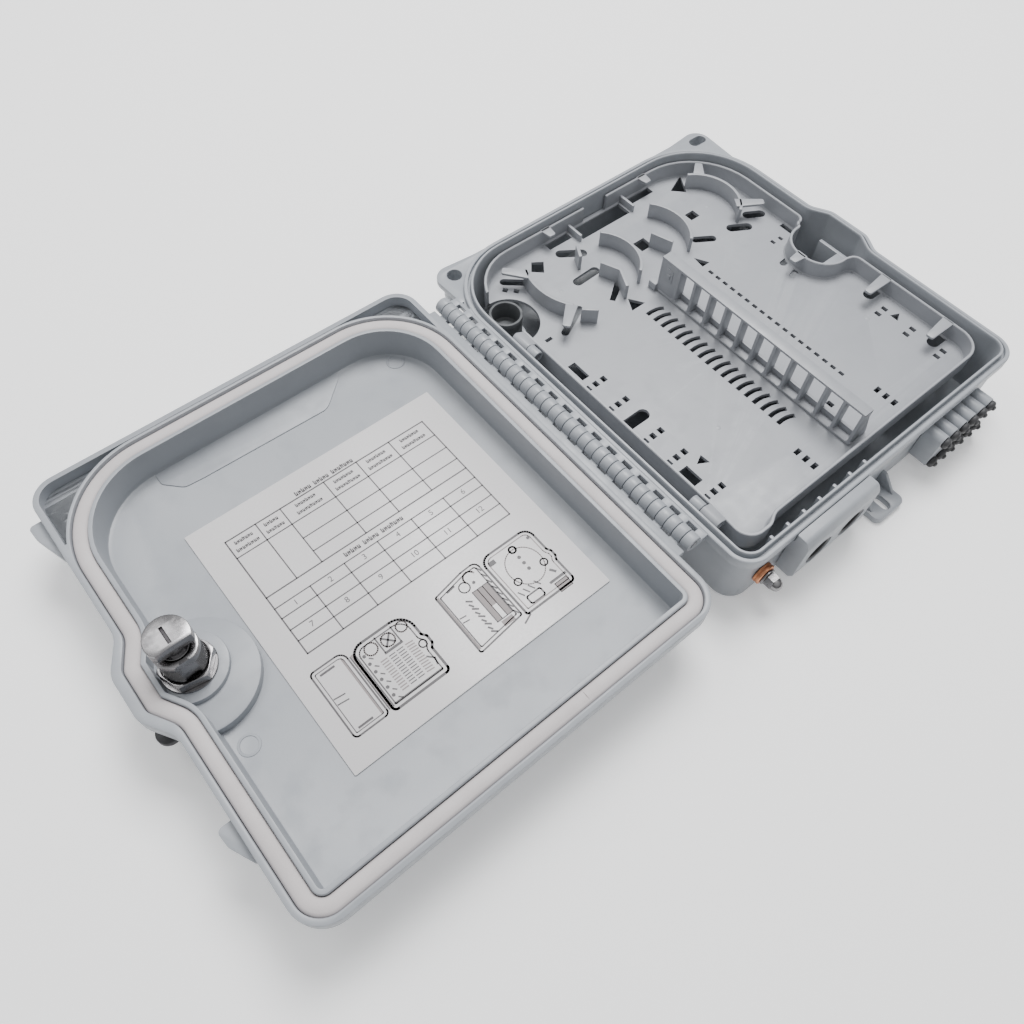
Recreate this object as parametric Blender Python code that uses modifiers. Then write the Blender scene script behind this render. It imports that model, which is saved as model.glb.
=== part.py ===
"""Wall-mounted fiber termination box, shown lying on its back with the cover open.

The origin is the centre of the base's back face. +X points from the hinge to the lock,
+Y to the end with the two mounting ears, +Z out of the wall. Dimensions are in
millimetres, and the helpers scale them to metres.
"""

import math

import bmesh
import bpy
from mathutils import Matrix, Vector

MM = 0.001
SAGITTA = 0.26          # most that a chord may stray from its arc
GAP = 0.3               # clearance between neighbouring pieces

# Base
BASE_LEFT, BASE_RIGHT = -106.0, 106.0
BASE_BOTTOM, BASE_TOP = -117.5, 117.0
RIM_Z = 39.4            # top of the base's rim
WALL_INSET = 2.0        # the wall stands this far inside the rim's edge
CAVITY_INSET = 5.5
FLOOR = 2.5
RIM_FOOT_Z = 33.0
TONGUE_Z = 40.6

# Hinge
HINGE_X, HINGE_Z = -115.0, 40.0
KNUCKLE_R = 4.4
PIN_R = 1.6
HINGE_PITCH = 10.75
COVER_KNUCKLES = 17
HINGE_MID_Y = 2.0

# Cover, at rest beside the base
COVER_NEAR, COVER_FAR = HINGE_X - 9.1, HINGE_X - 221.0
COVER_HALF = 120.0
COVER_RIM_Z = HINGE_Z
COVER_BACK_Z = 20.0
COVER_FLOOR_Z = 22.4
FLANGE_Z = 31.5         # underside of the cover's flange
GASKET_OUT, GASKET_IN = 3.2, 10.0
COVER_CAVITY = 12.5

# Lock, on the cover
LOCK_X, LOCK_Y = HINGE_X - 203.5, 3.0
HOUSING_R = 9.6
PLUG_R = 6.2

# Splice tray
TRAY_LEFT, TRAY_RIGHT = -91.0, 98.5
TRAY_BOTTOM, TRAY_TOP = -103.0, 110.8
TRAY_Z, TRAY_TOP_Z = 24.0, 26.0
TRAY_RIM_Z = 36.0
PIVOT_X, PIVOT_Z = -95.5, 35.0
NOTCH_X, NOTCH_Y, NOTCH_R = 89.8, 3.3, 16.4

PARTS = "fiber_termination_box"
HELPERS = "helpers"


# ---------------------------------------------------------------- scene and materials

def clear_scene():
    for obj in list(bpy.data.objects):
        bpy.data.objects.remove(obj, do_unlink=True)


def collection(name):
    found = bpy.data.collections.get(name)
    if found is None:
        found = bpy.data.collections.new(name)
        bpy.context.scene.collection.children.link(found)
    return found


def material(name, colour, roughness, metallic=0.0):
    made = bpy.data.materials.new(name)
    made.use_nodes = True
    shader = made.node_tree.nodes["Principled BSDF"]
    shader.inputs["Base Color"].default_value = (*colour, 1.0)
    shader.inputs["Roughness"].default_value = roughness
    shader.inputs["Metallic"].default_value = metallic
    made.diffuse_color = (*colour, 1.0)
    return made


# ---------------------------------------------------------------- outlines

def arc_steps(radius, angle):
    step = 2 * math.acos(max(0.0, 1 - SAGITTA / max(radius, 0.3)))
    return max(2, math.ceil(abs(angle) / min(step, math.radians(40))))


def arc(cx, cy, radius, start, end):
    """Points on an arc; angles in degrees, both ends included."""
    count = arc_steps(radius, math.radians(end - start))
    angles = [math.radians(start + (end - start) * i / count) for i in range(count + 1)]
    return [(cx + radius * math.cos(a), cy + radius * math.sin(a)) for a in angles]


def circle(cx, cy, radius):
    return arc(cx, cy, radius, 0, 360)[:-1]


def rectangle(x0, y0, x1, y1):
    return [(x0, y0), (x1, y0), (x1, y1), (x0, y1)]


def turned_rectangle(cx, cy, length, width, degrees):
    turn = Matrix.Rotation(math.radians(degrees), 2)
    corners = [(-length, -width), (length, -width), (length, width), (-length, width)]
    return [tuple(turn @ Vector((x / 2, y / 2)) + Vector((cx, cy))) for x, y in corners]


def slot(cx, cy, length, width, degrees=0.0):
    """A slot with round ends, of this overall length."""
    reach = (length - width) / 2
    points = arc(reach, 0, width / 2, -90, 90) + arc(-reach, 0, width / 2, 90, 270)
    turn = Matrix.Rotation(math.radians(degrees), 2)
    return [tuple(turn @ Vector(p) + Vector((cx, cy))) for p in points]


def rounded(corners):
    """The outline through (x, y, radius) corners, each rounded by its radius."""
    points = []
    for i, (x, y, radius) in enumerate(corners):
        here = Vector((x, y))
        before = (Vector(corners[i - 1][:2]) - here).normalized()
        after = (Vector(corners[(i + 1) % len(corners)][:2]) - here).normalized()
        if radius <= 0:
            points.append((x, y))
            continue
        half = before.angle(after) / 2
        centre = here + (before + after).normalized() * (radius / math.sin(half))
        start = here + before * (radius / math.tan(half)) - centre
        end = here + after * (radius / math.tan(half)) - centre
        turn = math.atan2(start.x * end.y - start.y * end.x, start.dot(end))
        count = arc_steps(radius, turn)
        for k in range(count + 1):
            points.append(tuple(centre + Matrix.Rotation(turn * k / count, 2) @ start))
    return points


def inset(corners, distance):
    """Anticlockwise (x, y, radius) corners moved inwards, with concentric rounding."""
    moved = []
    for i, (x, y, radius) in enumerate(corners):
        here = Vector((x, y))
        before = (here - Vector(corners[i - 1][:2])).normalized()
        after = (Vector(corners[(i + 1) % len(corners)][:2]) - here).normalized()
        normal_before = Vector((-before.y, before.x))
        normal_after = Vector((-after.y, after.x))
        bisector = normal_before + normal_after
        point = here + bisector * (distance * 2 / bisector.length_squared)
        convex = before.x * after.y - before.y * after.x > 0
        new_radius = radius - distance if convex else radius + distance
        moved.append((point.x, point.y, max(new_radius, 1.0)))
    return moved


BASE_CORNERS = [
    (BASE_LEFT, BASE_BOTTOM, 13), (BASE_RIGHT, BASE_BOTTOM, 13),
    (BASE_RIGHT, -22, 9), (BASE_RIGHT + 6.5, -11, 10),
    (BASE_RIGHT + 6.5, 15, 10), (BASE_RIGHT, 26, 9),
    (BASE_RIGHT, BASE_TOP, 50), (BASE_LEFT, BASE_TOP, 43),
]
COVER_CORNERS = [
    (COVER_NEAR, COVER_HALF, 13), (COVER_FAR, COVER_HALF, 13),
    (COVER_FAR, 29, 12), (COVER_FAR - 9.3, 14, 12),
    (COVER_FAR - 9.3, -10, 12), (COVER_FAR, -25, 12),
    (COVER_FAR, -COVER_HALF, 15), (COVER_NEAR, -COVER_HALF, 15),
]
SEAL_CORNERS = [
    (COVER_NEAR, COVER_HALF - 2, 46), (COVER_FAR, COVER_HALF - 2, 52),
    (COVER_FAR, 27, 10), (COVER_FAR - 7.5, 14, 10),
    (COVER_FAR - 7.5, -9, 10), (COVER_FAR, -22, 10),
    (COVER_FAR, -COVER_HALF, 15), (COVER_NEAR, -COVER_HALF, 15),
]
TRAY_CORNERS = [
    (TRAY_LEFT - 1.5, TRAY_BOTTOM - 3.4, 9.5), (TRAY_LEFT + 15, TRAY_BOTTOM - 3.4, 9),
    (TRAY_LEFT + 21, TRAY_BOTTOM, 9), (TRAY_RIGHT, TRAY_BOTTOM, 14),
    (TRAY_RIGHT, -15.5, 6), (91.5, -13.2, 9),
    (NOTCH_X - 16, -13.2, 15), (NOTCH_X - 16, 19.6, 15),
    (91.5, 19.6, 3), (92.5, 22.5, 2), (TRAY_RIGHT, 22.5, 5),
    (TRAY_RIGHT, TRAY_TOP, 42.5), (TRAY_LEFT, TRAY_TOP, 32),
    (TRAY_LEFT, -80, 6),
]


# ---------------------------------------------------------------- solids

def keep(obj, name, finish=None):
    """Names an object and files it as a part, or as a hidden helper if it has no finish."""
    obj.name = name
    obj.data.name = name
    for home in list(obj.users_collection):
        home.objects.unlink(obj)
    if finish is None:
        collection(HELPERS).objects.link(obj)
        obj.hide_render = True
        obj.display_type = "WIRE"
    else:
        collection(PARTS).objects.link(obj)
        obj.data.materials.clear()
        obj.data.materials.append(finish)
    return obj


def prism(name, loops, z0, z1, finish=None, turn=None):
    """Extrudes an outline (and the holes in it) from z0 to z1, then turns it."""
    curve = bpy.data.curves.new(name, "CURVE")
    curve.dimensions = "2D"
    curve.fill_mode = "BOTH"
    curve.extrude = (z1 - z0) / 2 * MM
    for loop in loops:
        spline = curve.splines.new("POLY")
        spline.points.add(len(loop) - 1)
        spline.use_cyclic_u = True
        for point, (x, y) in zip(spline.points, loop):
            point.co = (x * MM, y * MM, 0, 1)
    guide = bpy.data.objects.new(name, curve)
    bpy.context.scene.collection.objects.link(guide)
    guide.location.z = (z0 + z1) / 2 * MM
    bpy.context.view_layer.update()
    mesh = bpy.data.meshes.new_from_object(guide.evaluated_get(bpy.context.evaluated_depsgraph_get()))
    mesh.transform(guide.matrix_world)
    if turn is not None:
        mesh.transform(turn)
    bpy.data.objects.remove(guide)
    bpy.data.curves.remove(curve)
    form = bmesh.new()
    form.from_mesh(mesh)
    bmesh.ops.remove_doubles(form, verts=form.verts, dist=0.000002)
    bmesh.ops.recalc_face_normals(form, faces=form.faces)
    form.to_mesh(mesh)
    form.free()
    solid = bpy.data.objects.new(name, mesh)
    bpy.context.scene.collection.objects.link(solid)
    return keep(solid, name, finish)


def prism_y(name, loops, y0, y1, finish=None):
    """Extrudes (x, z) outlines along Y."""
    return prism(name, loops, -y1, -y0, finish, Matrix.Rotation(math.radians(90), 4, "X"))


def prism_x(name, loops, x0, x1, finish=None):
    """Extrudes (y, z) outlines along X."""
    turn = Matrix(((0, 0, 1, 0), (1, 0, 0, 0), (0, 1, 0, 0), (0, 0, 0, 1)))
    return prism(name, loops, x0, x1, finish, turn)


def box(name, low, high, finish=None):
    form = bmesh.new()
    bmesh.ops.create_cube(form, size=1)
    size = [(b - a) * MM for a, b in zip(low, high)]
    middle = [(a + b) / 2 * MM for a, b in zip(low, high)]
    bmesh.ops.scale(form, vec=size, verts=form.verts)
    bmesh.ops.translate(form, vec=middle, verts=form.verts)
    mesh = bpy.data.meshes.new(name)
    form.to_mesh(mesh)
    form.free()
    solid = bpy.data.objects.new(name, mesh)
    bpy.context.scene.collection.objects.link(solid)
    return keep(solid, name, finish)


def turned(name, profile, finish, origin, along="Z", sides=24):
    """Revolves an (r, h) profile, listed from its highest point down, about an axis."""
    mesh = bpy.data.meshes.new(name)
    mesh.from_pydata([(r * MM, 0, h * MM) for r, h in profile],
                     [(i, i + 1) for i in range(len(profile) - 1)], [])
    mesh.update()
    solid = bpy.data.objects.new(name, mesh)
    bpy.context.scene.collection.objects.link(solid)
    solid.location = [c * MM for c in origin]
    if along == "-Y":
        solid.rotation_euler = (math.radians(90), 0, 0)
    screw = solid.modifiers.new("turn", "SCREW")
    screw.steps = sides
    screw.render_steps = sides
    screw.use_merge_vertices = True
    screw.merge_threshold = 0.00001
    screw.use_smooth_shade = True
    return keep(solid, name, finish)


def washer_profile(outer, inner, low, high):
    return [(inner, high), (outer, high), (outer, low), (inner, low), (inner, high)]


def combine(target, tool, operation):
    change = target.modifiers.new(f"{operation.lower()}_{tool.name}"[:60], "BOOLEAN")
    change.operation = operation
    change.object = tool
    return target


def cut(target, *tools):
    for tool in tools:
        combine(target, tool, "DIFFERENCE")


def join(target, *tools):
    for tool in tools:
        combine(target, tool, "UNION")


def merged(name, solids):
    """Separate helper solids as one helper mesh, for one Boolean."""
    form = bmesh.new()
    for solid in solids:
        form.from_mesh(solid.data)
        bpy.data.objects.remove(solid)
    mesh = bpy.data.meshes.new(name)
    form.to_mesh(mesh)
    form.free()
    whole = bpy.data.objects.new(name, mesh)
    bpy.context.scene.collection.objects.link(whole)
    return keep(whole, name)


def set_origin(obj, x, y, z):
    """Moves an object's origin without moving its shape."""
    shift = Vector((x * MM, y * MM, z * MM)) - obj.location
    obj.data.transform(Matrix.Translation(-shift))
    obj.location += shift


# ---------------------------------------------------------------- hinge

def cover_knuckle_ys():
    first = HINGE_MID_Y - (COVER_KNUCKLES - 1) / 2 * HINGE_PITCH
    return [first + i * HINGE_PITCH for i in range(COVER_KNUCKLES)]


def base_knuckle_ys():
    ys = cover_knuckle_ys()
    return [ys[0] - HINGE_PITCH / 2] + [y + HINGE_PITCH / 2 for y in ys]


def knuckles(name, ys, side):
    """A row of hinge barrels, each on an arm that runs to one side."""
    root_x = HINGE_X + side * 11.4
    barrel = arc(HINGE_X, HINGE_Z, KNUCKLE_R, 90 - side * 102, 90 + side * 180)
    outline = barrel + [(root_x, HINGE_Z - KNUCKLE_R), (root_x, HINGE_Z - 0.9)]
    eye = circle(HINGE_X, HINGE_Z, PIN_R + GAP)
    half = (HINGE_PITCH / 2 - GAP) / 2
    return merged(name, [
        prism_y("knuckle", [outline, eye], y - half, y + half) for y in ys
    ])


def hinge_pin(finish):
    ys = base_knuckle_ys()
    top = ys[-1] - ys[0] + HINGE_PITCH / 2
    profile = [(0, top), (PIN_R, top), (PIN_R, 0), (0, 0)]
    pin = turned("hinge_pin", profile, finish, (HINGE_X, ys[-1] + HINGE_PITCH / 4, HINGE_Z),
                 "-Y", 12)
    return pin


# ---------------------------------------------------------------- base

PORT_XS = (-59.0, -34.5)
PORT_Z = 20.0
PORT_R = 8.6
OUTLET_XS = [37.0 + 7.8 * i for i in range(6)]
OUTLET_ZS = (9.0, 25.5)
OUTLET_R = 2.5
STUD_X, STUD_Z = -88.0, 18.0
EAR_HOLES = ((-94.5, 111.8), (98.6, 112.0))
REAR_ENTRY = (-86.5, 76.5, 9.4)
POSTS = ((-82, -88), (70, -92), (-46, 84), (86, 66))
PIVOT_LUGS = ((46.0, 57.0), (-91.0, -80.0))


def base_shell(finish):
    shell = prism("base_shell", [rounded(inset(BASE_CORNERS, WALL_INSET))],
                  0, RIM_FOOT_Z + 1, finish)
    rim = prism("rim", [rounded(BASE_CORNERS)], RIM_FOOT_Z, RIM_Z)
    ears = prism("ears", [rounded([
        (BASE_LEFT, 50, 2), (BASE_RIGHT, 50, 2), (EAR_HOLES[1][0] + 9, BASE_TOP + 4.3, 9),
        (80, BASE_TOP + 1.4, 30), (-76, BASE_TOP + 1.4, 30),
        (BASE_LEFT + 0.6, BASE_TOP + 4, 9),
    ])], RIM_FOOT_Z + 0.4, RIM_Z - 2.4)
    foot_ear = prism("foot_ear", [rounded([
        (-11, -110, 0), (-11, -133, 4), (11, -133, 4), (11, -110, 0)])], 0, 4)
    cavity = prism("cavity", [rounded(inset(BASE_CORNERS, CAVITY_INSET))], FLOOR, 60)
    join(shell, rim, ears, foot_ear)
    cut(shell, cavity)
    join(shell, prism("tongue", [rounded(inset(BASE_CORNERS, 3.9)),
                                 rounded(inset(BASE_CORNERS, 5.3))], RIM_Z - 1, TONGUE_Z))
    join(shell, knuckles("base_knuckles", base_knuckle_ys(), 1))
    base_inside(shell)
    base_holes(shell)
    return shell


def base_inside(shell):
    """Posts under the tray, the tray's pivot brackets and the cable comb."""
    posts = [prism("post", [circle(x, y, 4)], FLOOR - 1, TRAY_Z - GAP) for x, y in POSTS]
    teeth = [box("tooth", (x - 0.9, BASE_BOTTOM + 4.5, 14), (x + 0.9, BASE_BOTTOM + 8.5, 33.5))
             for x in [-80 + 11.4 * i for i in range(7)]]
    brackets = []
    for low, high in PIVOT_LUGS:
        near, far = (low - 7, low - GAP) if low > 0 else (high + GAP, high + 7)
        hub = arc(PIVOT_X, PIVOT_Z, 3.2, -90, 180)
        outline = hub + [(PIVOT_X - 3.2, 30), (BASE_LEFT + 4, 26), (BASE_LEFT + 4, 20),
                         (PIVOT_X - 2, 20)]
        bracket = prism_y("bracket", [outline, circle(PIVOT_X, PIVOT_Z, 1.8)], near, far)
        brackets.append(bracket)
    join(shell, merged("posts", posts), merged("teeth", teeth), merged("brackets", brackets))


def base_holes(shell):
    holes = [prism("ear_hole", [circle(*EAR_HOLES[0], 4.2)], 30, 45),
             prism("ear_slot", [slot(*EAR_HOLES[1], 12, 6.6)], 30, 45),
             prism("foot_slot", [slot(0, -126, 9.5, 5.2, 90)], -2, 8),
             prism("rear_entry", [circle(*REAR_ENTRY[:2], REAR_ENTRY[2] + GAP)], -2, 5),
             prism_y("stud_hole", [circle(STUD_X, STUD_Z, 2.4)], -125, -105)]
    for x in PORT_XS:
        holes.append(prism_y("port", [circle(x, PORT_Z, PORT_R)], -125, -105))
    for x in OUTLET_XS:
        holes.append(prism_y("outlet", [slot(x, sum(OUTLET_ZS) / 2, 21.5, 5, 90)], -125, -105))
    cut(shell, merged("base_holes", holes))


def rear_entry_grommet(finish):
    x, y, radius = REAR_ENTRY
    wall = 1.6
    profile = [(0, 20), (radius - wall, 20), (radius - wall, 31), (radius, 31), (radius, 0.4),
               (radius - wall, 0.4), (radius - wall, 18), (0, 18)]
    return turned("rear_entry_grommet", profile, finish, (x, y, 0), sides=24)


def cable_entry_block(finish):
    back, front = BASE_BOTTOM + WALL_INSET - GAP, BASE_BOTTOM - 8.5
    rim_back = BASE_BOTTOM - GAP
    outline = rounded([
        (back, 6, 0), (back, RIM_FOOT_Z - GAP, 0), (rim_back, RIM_FOOT_Z - GAP, 0),
        (rim_back, 38.2, 0), (front + 2.5, 38.2, 3), (front, 34, 3), (front, 9, 2.5),
        (front + 2, 6, 1)])
    block = prism_x("cable_entry_block", [outline], -73, -20, finish)
    cut(block, merged("block_ports", [
        prism_y("block_port", [circle(x, PORT_Z, PORT_R)], -140, -110) for x in PORT_XS]))
    return block


def port_grommet(number, x, finish):
    radius = PORT_R - GAP
    profile = [(radius - 2, 13.4), (radius, 12.6), (radius, 0), (radius - 2, 0), (radius - 2, 6),
               (1.2, 6), (1.2, 8), (radius - 2, 8), (radius - 2, 13.4)]
    return turned(f"port_grommet_{number}", profile, finish, (x, -112.4, PORT_Z), "-Y", 16)


def drop_outlet_block(finish):
    """Two rows of six short tubes in one moulding, fluted along its top and bottom."""
    back, front = BASE_BOTTOM + WALL_INSET - GAP, BASE_BOTTOM - 9
    outline = []
    for x in OUTLET_XS:
        outline += arc(x, OUTLET_ZS[0], 3.7, 180, 360)
    for x in reversed(OUTLET_XS):
        outline += arc(x, OUTLET_ZS[1], 3.7, 0, 180)
    bores = [circle(x, z, OUTLET_R) for x in OUTLET_XS for z in OUTLET_ZS]
    return prism_y("drop_outlet_block", [outline, *bores], front, back, finish)


def drop_plug(name, x, z, finish):
    """A rubber plug: a stem in the tube, a flange on its mouth and a nipple."""
    profile = [(0, 14.6), (1.4, 13.8), (3.2, 12.0), (3.2, 10.1), (2.1, 10.1), (2.0, 0), (0, 0)]
    return turned(name, profile, finish, (x, BASE_BOTTOM + 0.8, z), "-Y", 10)


def ground_terminal(finishes):
    wall_face = BASE_BOTTOM + WALL_INSET - GAP
    origin = (STUD_X, wall_face, STUD_Z)
    turned("ground_bushing", washer_profile(5.8, 2.3, 0, 3.4), finishes["copper"], origin,
           "-Y", 14)
    turned("ground_washer", washer_profile(4.6, 2.3, 3.7, 4.7), finishes["chrome"], origin,
           "-Y", 14)
    turned("ground_stud", [(0, 9.6), (1.9, 9.6), (1.9, -4.0), (3.8, -4.0), (3.8, -6.8), (0, -6.8)],
           finishes["brass"], origin, "-Y", 12)


def hexagon(cx, cy, across_corners, start=0):
    return [(cx + across_corners / 2 * math.cos(math.radians(start + 60 * i)),
             cy + across_corners / 2 * math.sin(math.radians(start + 60 * i)))
            for i in range(6)]


def ground_nut(finish):
    """An acorn nut: a hexagon with a domed, closed end."""
    near = BASE_BOTTOM + WALL_INSET - GAP - 5.0
    nut = prism_y("ground_nut", [hexagon(STUD_X, STUD_Z, 8.6)], near - 4, near, finish)
    dome = turned("dome", [(0, 7.6), (1.9, 7.0), (3.0, 5.6), (3.4, 3.6), (3.4, 3.0), (0, 3.0)],
                  None, (STUD_X, near, STUD_Z), "-Y", 14)
    join(nut, dome)
    cut(nut, prism_y("nut_bore", [circle(STUD_X, STUD_Z, 2.2)], near - 5.2, near + 5))
    set_origin(nut, STUD_X, near, STUD_Z)
    return nut


CATCH_Z = 27.2


def lock_catch(finish):
    """A plate inside the lock bulge, with a shelf that the lock's cam turns under."""
    catch = box("lock_catch", (100.2, -10.2, FLOOR + GAP), (102.6, 10, CATCH_Z), finish)
    join(catch, box("catch_shelf", (84.4, -9.8, CATCH_Z - 2.4), (101.4, -3.6, CATCH_Z - 0.2)))
    return catch


def tray_pivot_pins(finish):
    for name, (low, high) in zip(("upper", "lower"), PIVOT_LUGS):
        near, far = (low - 7, high - 1) if low > 0 else (low + 1, high + 7)
        turned(f"tray_pivot_pin_{name}", [(0, far - near), (1.5, far - near), (1.5, 0), (0, 0)],
               finish, (PIVOT_X, far, PIVOT_Z), "-Y", 10)


def cable_clamps(finishes):
    """Saddles that hold the incoming cables, each with two screws, under the tray."""
    for number, x in enumerate(PORT_XS, 1):
        y = -92
        saddle = prism_y(f"cable_clamp_{number}", [
            [(x - 11, FLOOR + GAP), (x - 5.6, FLOOR + GAP), (x - 5.6, 9)]
            + arc(x, 9, 5.6, 180, 0)[1:-1]
            + [(x + 5.6, 9), (x + 5.6, FLOOR + GAP), (x + 11, FLOOR + GAP), (x + 11, 4.4),
               (x + 7.2, 4.4), (x + 7.2, 9)]
            + arc(x, 9, 7.2, 0, 180)[1:-1]
            + [(x - 7.2, 9), (x - 7.2, 4.4), (x - 11, 4.4)]], y - 5, y + 5, finishes["zinc"])
        for side, screw_x in (("left", x - 9.1), ("right", x + 9.1)):
            cut(saddle, prism(f"clamp_{number}_{side}_hole", [circle(screw_x, y, 1.3)], 0, 8))
            turned(f"clamp_screw_{number}_{side}",
                   [(0, 6.4), (1.7, 6.2), (1.8, 4.7), (1.0, 4.7), (1.0, FLOOR + GAP),
                    (0, FLOOR + GAP)], finishes["zinc"], (screw_x, y, 0), sides=10)


# ---------------------------------------------------------------- splice tray

GUIDES = (  # centre x, centre y, radius, first and last angle
    (-28.5, 76.0, 35.0, 152, 217),
    (-22.5, 71.5, 24.0, -56, 46),
    (15.0, 71.5, 26.0, -48, 42),
    (60.0, 72.0, 24.5, -56, 62),
)
FINGERS = (  # root x, root y, direction in degrees, length
    (78.5, 91.0, 45, 8.5), (77.0, 57.0, -34, 16), (96.5, -38, 182, 17), (96.5, -80, 182, 17),
    (-61.5, 89.0, 132, 14), (-58.4, 54.9, 218, 14.8), (73.0, 4.0, 180, 8),
    (-29.5, 109.8, 270, 6.5), (47.5, 109.8, 270, 6.5),
)
BAFFLES = (  # upright walls between the guides, each along a line
    [(-22.3, 70.2), (-17.5, 59.0), (-23.4, 47.3)],
    [(17.5, 70.0), (22.0, 57.0)],
    [(-55.0, 50.0), (-48.0, 44.0)],
    [(-24.0, 88.5), (-28.5, 80.5)],
)
REAR_OPENING = (-86.0, 74.0, 17.2)
COMB_SLOTS = 18
COMB_PITCH = 5.66


def slot_between(start, end, width):
    """A slot whose round ends reach to two points."""
    run = Vector(end) - Vector(start)
    middle = (Vector(start) + Vector(end)) / 2
    return slot(*middle, run.length, width, math.degrees(math.atan2(run.y, run.x)))


def band(points, width):
    """A strip of this width along an open line."""
    left, right = [], []
    for i, point in enumerate(points):
        here = Vector(point)
        ends = [here - Vector(points[i - 1])] if i else []
        ends += [Vector(points[i + 1]) - here] if i < len(points) - 1 else []
        normal = sum((Vector((-d.y, d.x)).normalized() for d in ends), Vector((0, 0)))
        normal *= len(ends) / normal.length_squared * width / 2
        left.append(tuple(here + normal))
        right.append(tuple(here - normal))
    return left + right[::-1]


def small_holes():
    """The comb slots and the rows of small rectangular holes."""
    loops = []
    for i in range(COMB_SLOTS):
        y = 30.2 - COMB_PITCH * i
        loops.append(turned_rectangle(-16.5, y, 11.0, 2.3, -9))
        loops.append(rectangle(29.7, y + 0.4, 31.3, y + 3.3))
    for y in (12.0, -5.2, -31.0, -47.8, -73.6):
        loops += [rectangle(x - 1.5, y - 1.8, x + 1.5, y + 1.8) for x in (-83.5, -78, -72.5)]
    for x in (-27.5, 37.0):
        loops += [rectangle(x - 2.2, y - 1.3, x + 2.2, y + 1.3) for y in (-83.5, -89, -94.5)]
    for y in (-49.0, -68.5, -89.0):
        loops += [rectangle(x - 1.3, y - 1.9, x + 1.3, y + 1.9) for x in (81.5, 87.5)]
    loops += [turned_rectangle(-72.5, 94, 3, 3, 35), turned_rectangle(-68, 89.5, 3, 3, 35),
              rectangle(77.4, 25.2, 79.6, 28.4), rectangle(83.4, 24.6, 85.6, 27.6),
              rectangle(-79.5, 49.6, -75.1, 51.8), rectangle(8, -76, 11, -72)]
    return loops


def tray_holes():
    """The larger openings through the tray's floor."""
    return [
        slot_between((-71.0, 101.0), (-58.5, 90.5), 5),
        [(-51.5, 96), (-46.5, 102), (-40.5, 98), (-46, 91)],
        slot_between((-31.0, 98.5), (-15.5, 88.0), 6),
        slot_between((-38.5, 73.5), (-19.0, 74.5), 6),
        [(-31, 52), (-29, 49.5), (-18, 56), (-19, 60.5)],
        slot_between((-69.0, 48.0), (-47.0, 58.5), 4.4),
        [(-26.5, 38.2), (-16.5, 38.2), (-22, 46.5)],
        [(30, 38.2), (36, 38.2), (31.2, 46.5)],
        rectangle(-82, 18, -77, 30), rectangle(-83.5, -65.5, -77.5, -54.5),
        [(-83.5, -21.5), (-72.5, -21.5)] + arc(-72.5, -18, 3.5, -60, 60)
        + [(-72.5, -14.5), (-83.5, -14.5)],
        [(-73, -57), (-67.5, -60.3), (-67.5, -54.3)],
        [(62.5, 97), (69.5, 90), (77.5, 103.5)],
        rectangle(53.5, 70, 60.5, 76), rectangle(11, 69, 19.5, 77),
        slot_between((41.0, 58.0), (54.0, 50.0), 5), slot_between((65.0, 52.0), (79.0, 44.0), 6),
        slot_between((81.5, 54.0), (94.0, 47.0), 6),
        slot_between((67.5, 11.0), (76.5, 11.5), 4.0),
        slot_between((64.5, 0.5), (72.0, 2.5), 3.6),
        slot_between((86.0, -36.5), (96.0, -36.5), 7),
        slot_between((85.0, -81.5), (96.0, -81.5), 7),
        [(86, -54), (86, -59.5), (91.5, -56.5)],
        rectangle(-31, 103, -14, 108.6), rectangle(-9.6, 98, 28.5, 108.6),
        rectangle(33.6, 103, 53.2, 108.6), rectangle(92.5, 24, 96.4, 34),
    ]


def splice_tray(finish):
    outline = rounded(TRAY_CORNERS)
    tray = prism("splice_tray", [outline], TRAY_Z, TRAY_TOP_Z, finish)
    rim = prism("tray_rim", [outline, rounded(inset(TRAY_CORNERS, 1.8))], TRAY_Z + 0.5,
                TRAY_RIM_Z)
    cut(rim, box("rim_gap", (0, 100, TRAY_TOP_Z + 0.2), (18, 115, 45)))
    join(tray, rim)
    walls = []
    for cx, cy, radius, start, end in GUIDES:
        outer = arc(cx, cy, radius + 0.9, start, end)
        inner = arc(cx, cy, radius - 0.9, end, start)
        walls.append(prism("guide", [outer + inner], TRAY_Z + 0.5, TRAY_RIM_Z))
    walls += [prism("baffle", [band(line, 1.8)], TRAY_Z + 0.5, TRAY_RIM_Z) for line in BAFFLES]
    join(tray, merged("guides", walls))
    fingers = []
    for x, y, degrees, length in FINGERS:
        turn = Matrix.Rotation(math.radians(degrees), 2)
        tongue = [(-1.5, -3.4), (length, -2.2), (length, 2.2), (-1.5, 3.4)]
        outline = [tuple(turn @ Vector(p) + Vector((x, y))) for p in tongue]
        fingers.append(prism("finger", [outline], TRAY_RIM_Z - 1.6, TRAY_RIM_Z + 0.01))
    for number, finger in enumerate(fingers):
        finger.name = f"finger_{number + 1}"
        join(tray, finger)
    cut(tray, merged("tray_holes", [
        prism("hole", [loop], TRAY_Z - 1, TRAY_TOP_Z + 0.4)
        for loop in tray_holes() + small_holes()]),
        prism("rear_opening", [circle(*REAR_OPENING)], TRAY_Z - 1, 45))
    lugs = []
    for low, high in PIVOT_LUGS:
        hub = arc(PIVOT_X, PIVOT_Z, 3.2, 90, 270)
        outline = hub + [(TRAY_LEFT + 1, PIVOT_Z - 3.2), (TRAY_LEFT + 1, TRAY_RIM_Z - 0.6),
                         (PIVOT_X + 2.4, PIVOT_Z + 2.1)]
        lugs.append(prism_y("lug", [outline, circle(PIVOT_X, PIVOT_Z, 1.8)], low, high))
    join(tray, merged("tray_lugs", lugs))
    set_origin(tray, PIVOT_X, 0, PIVOT_Z)
    return tray


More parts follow.
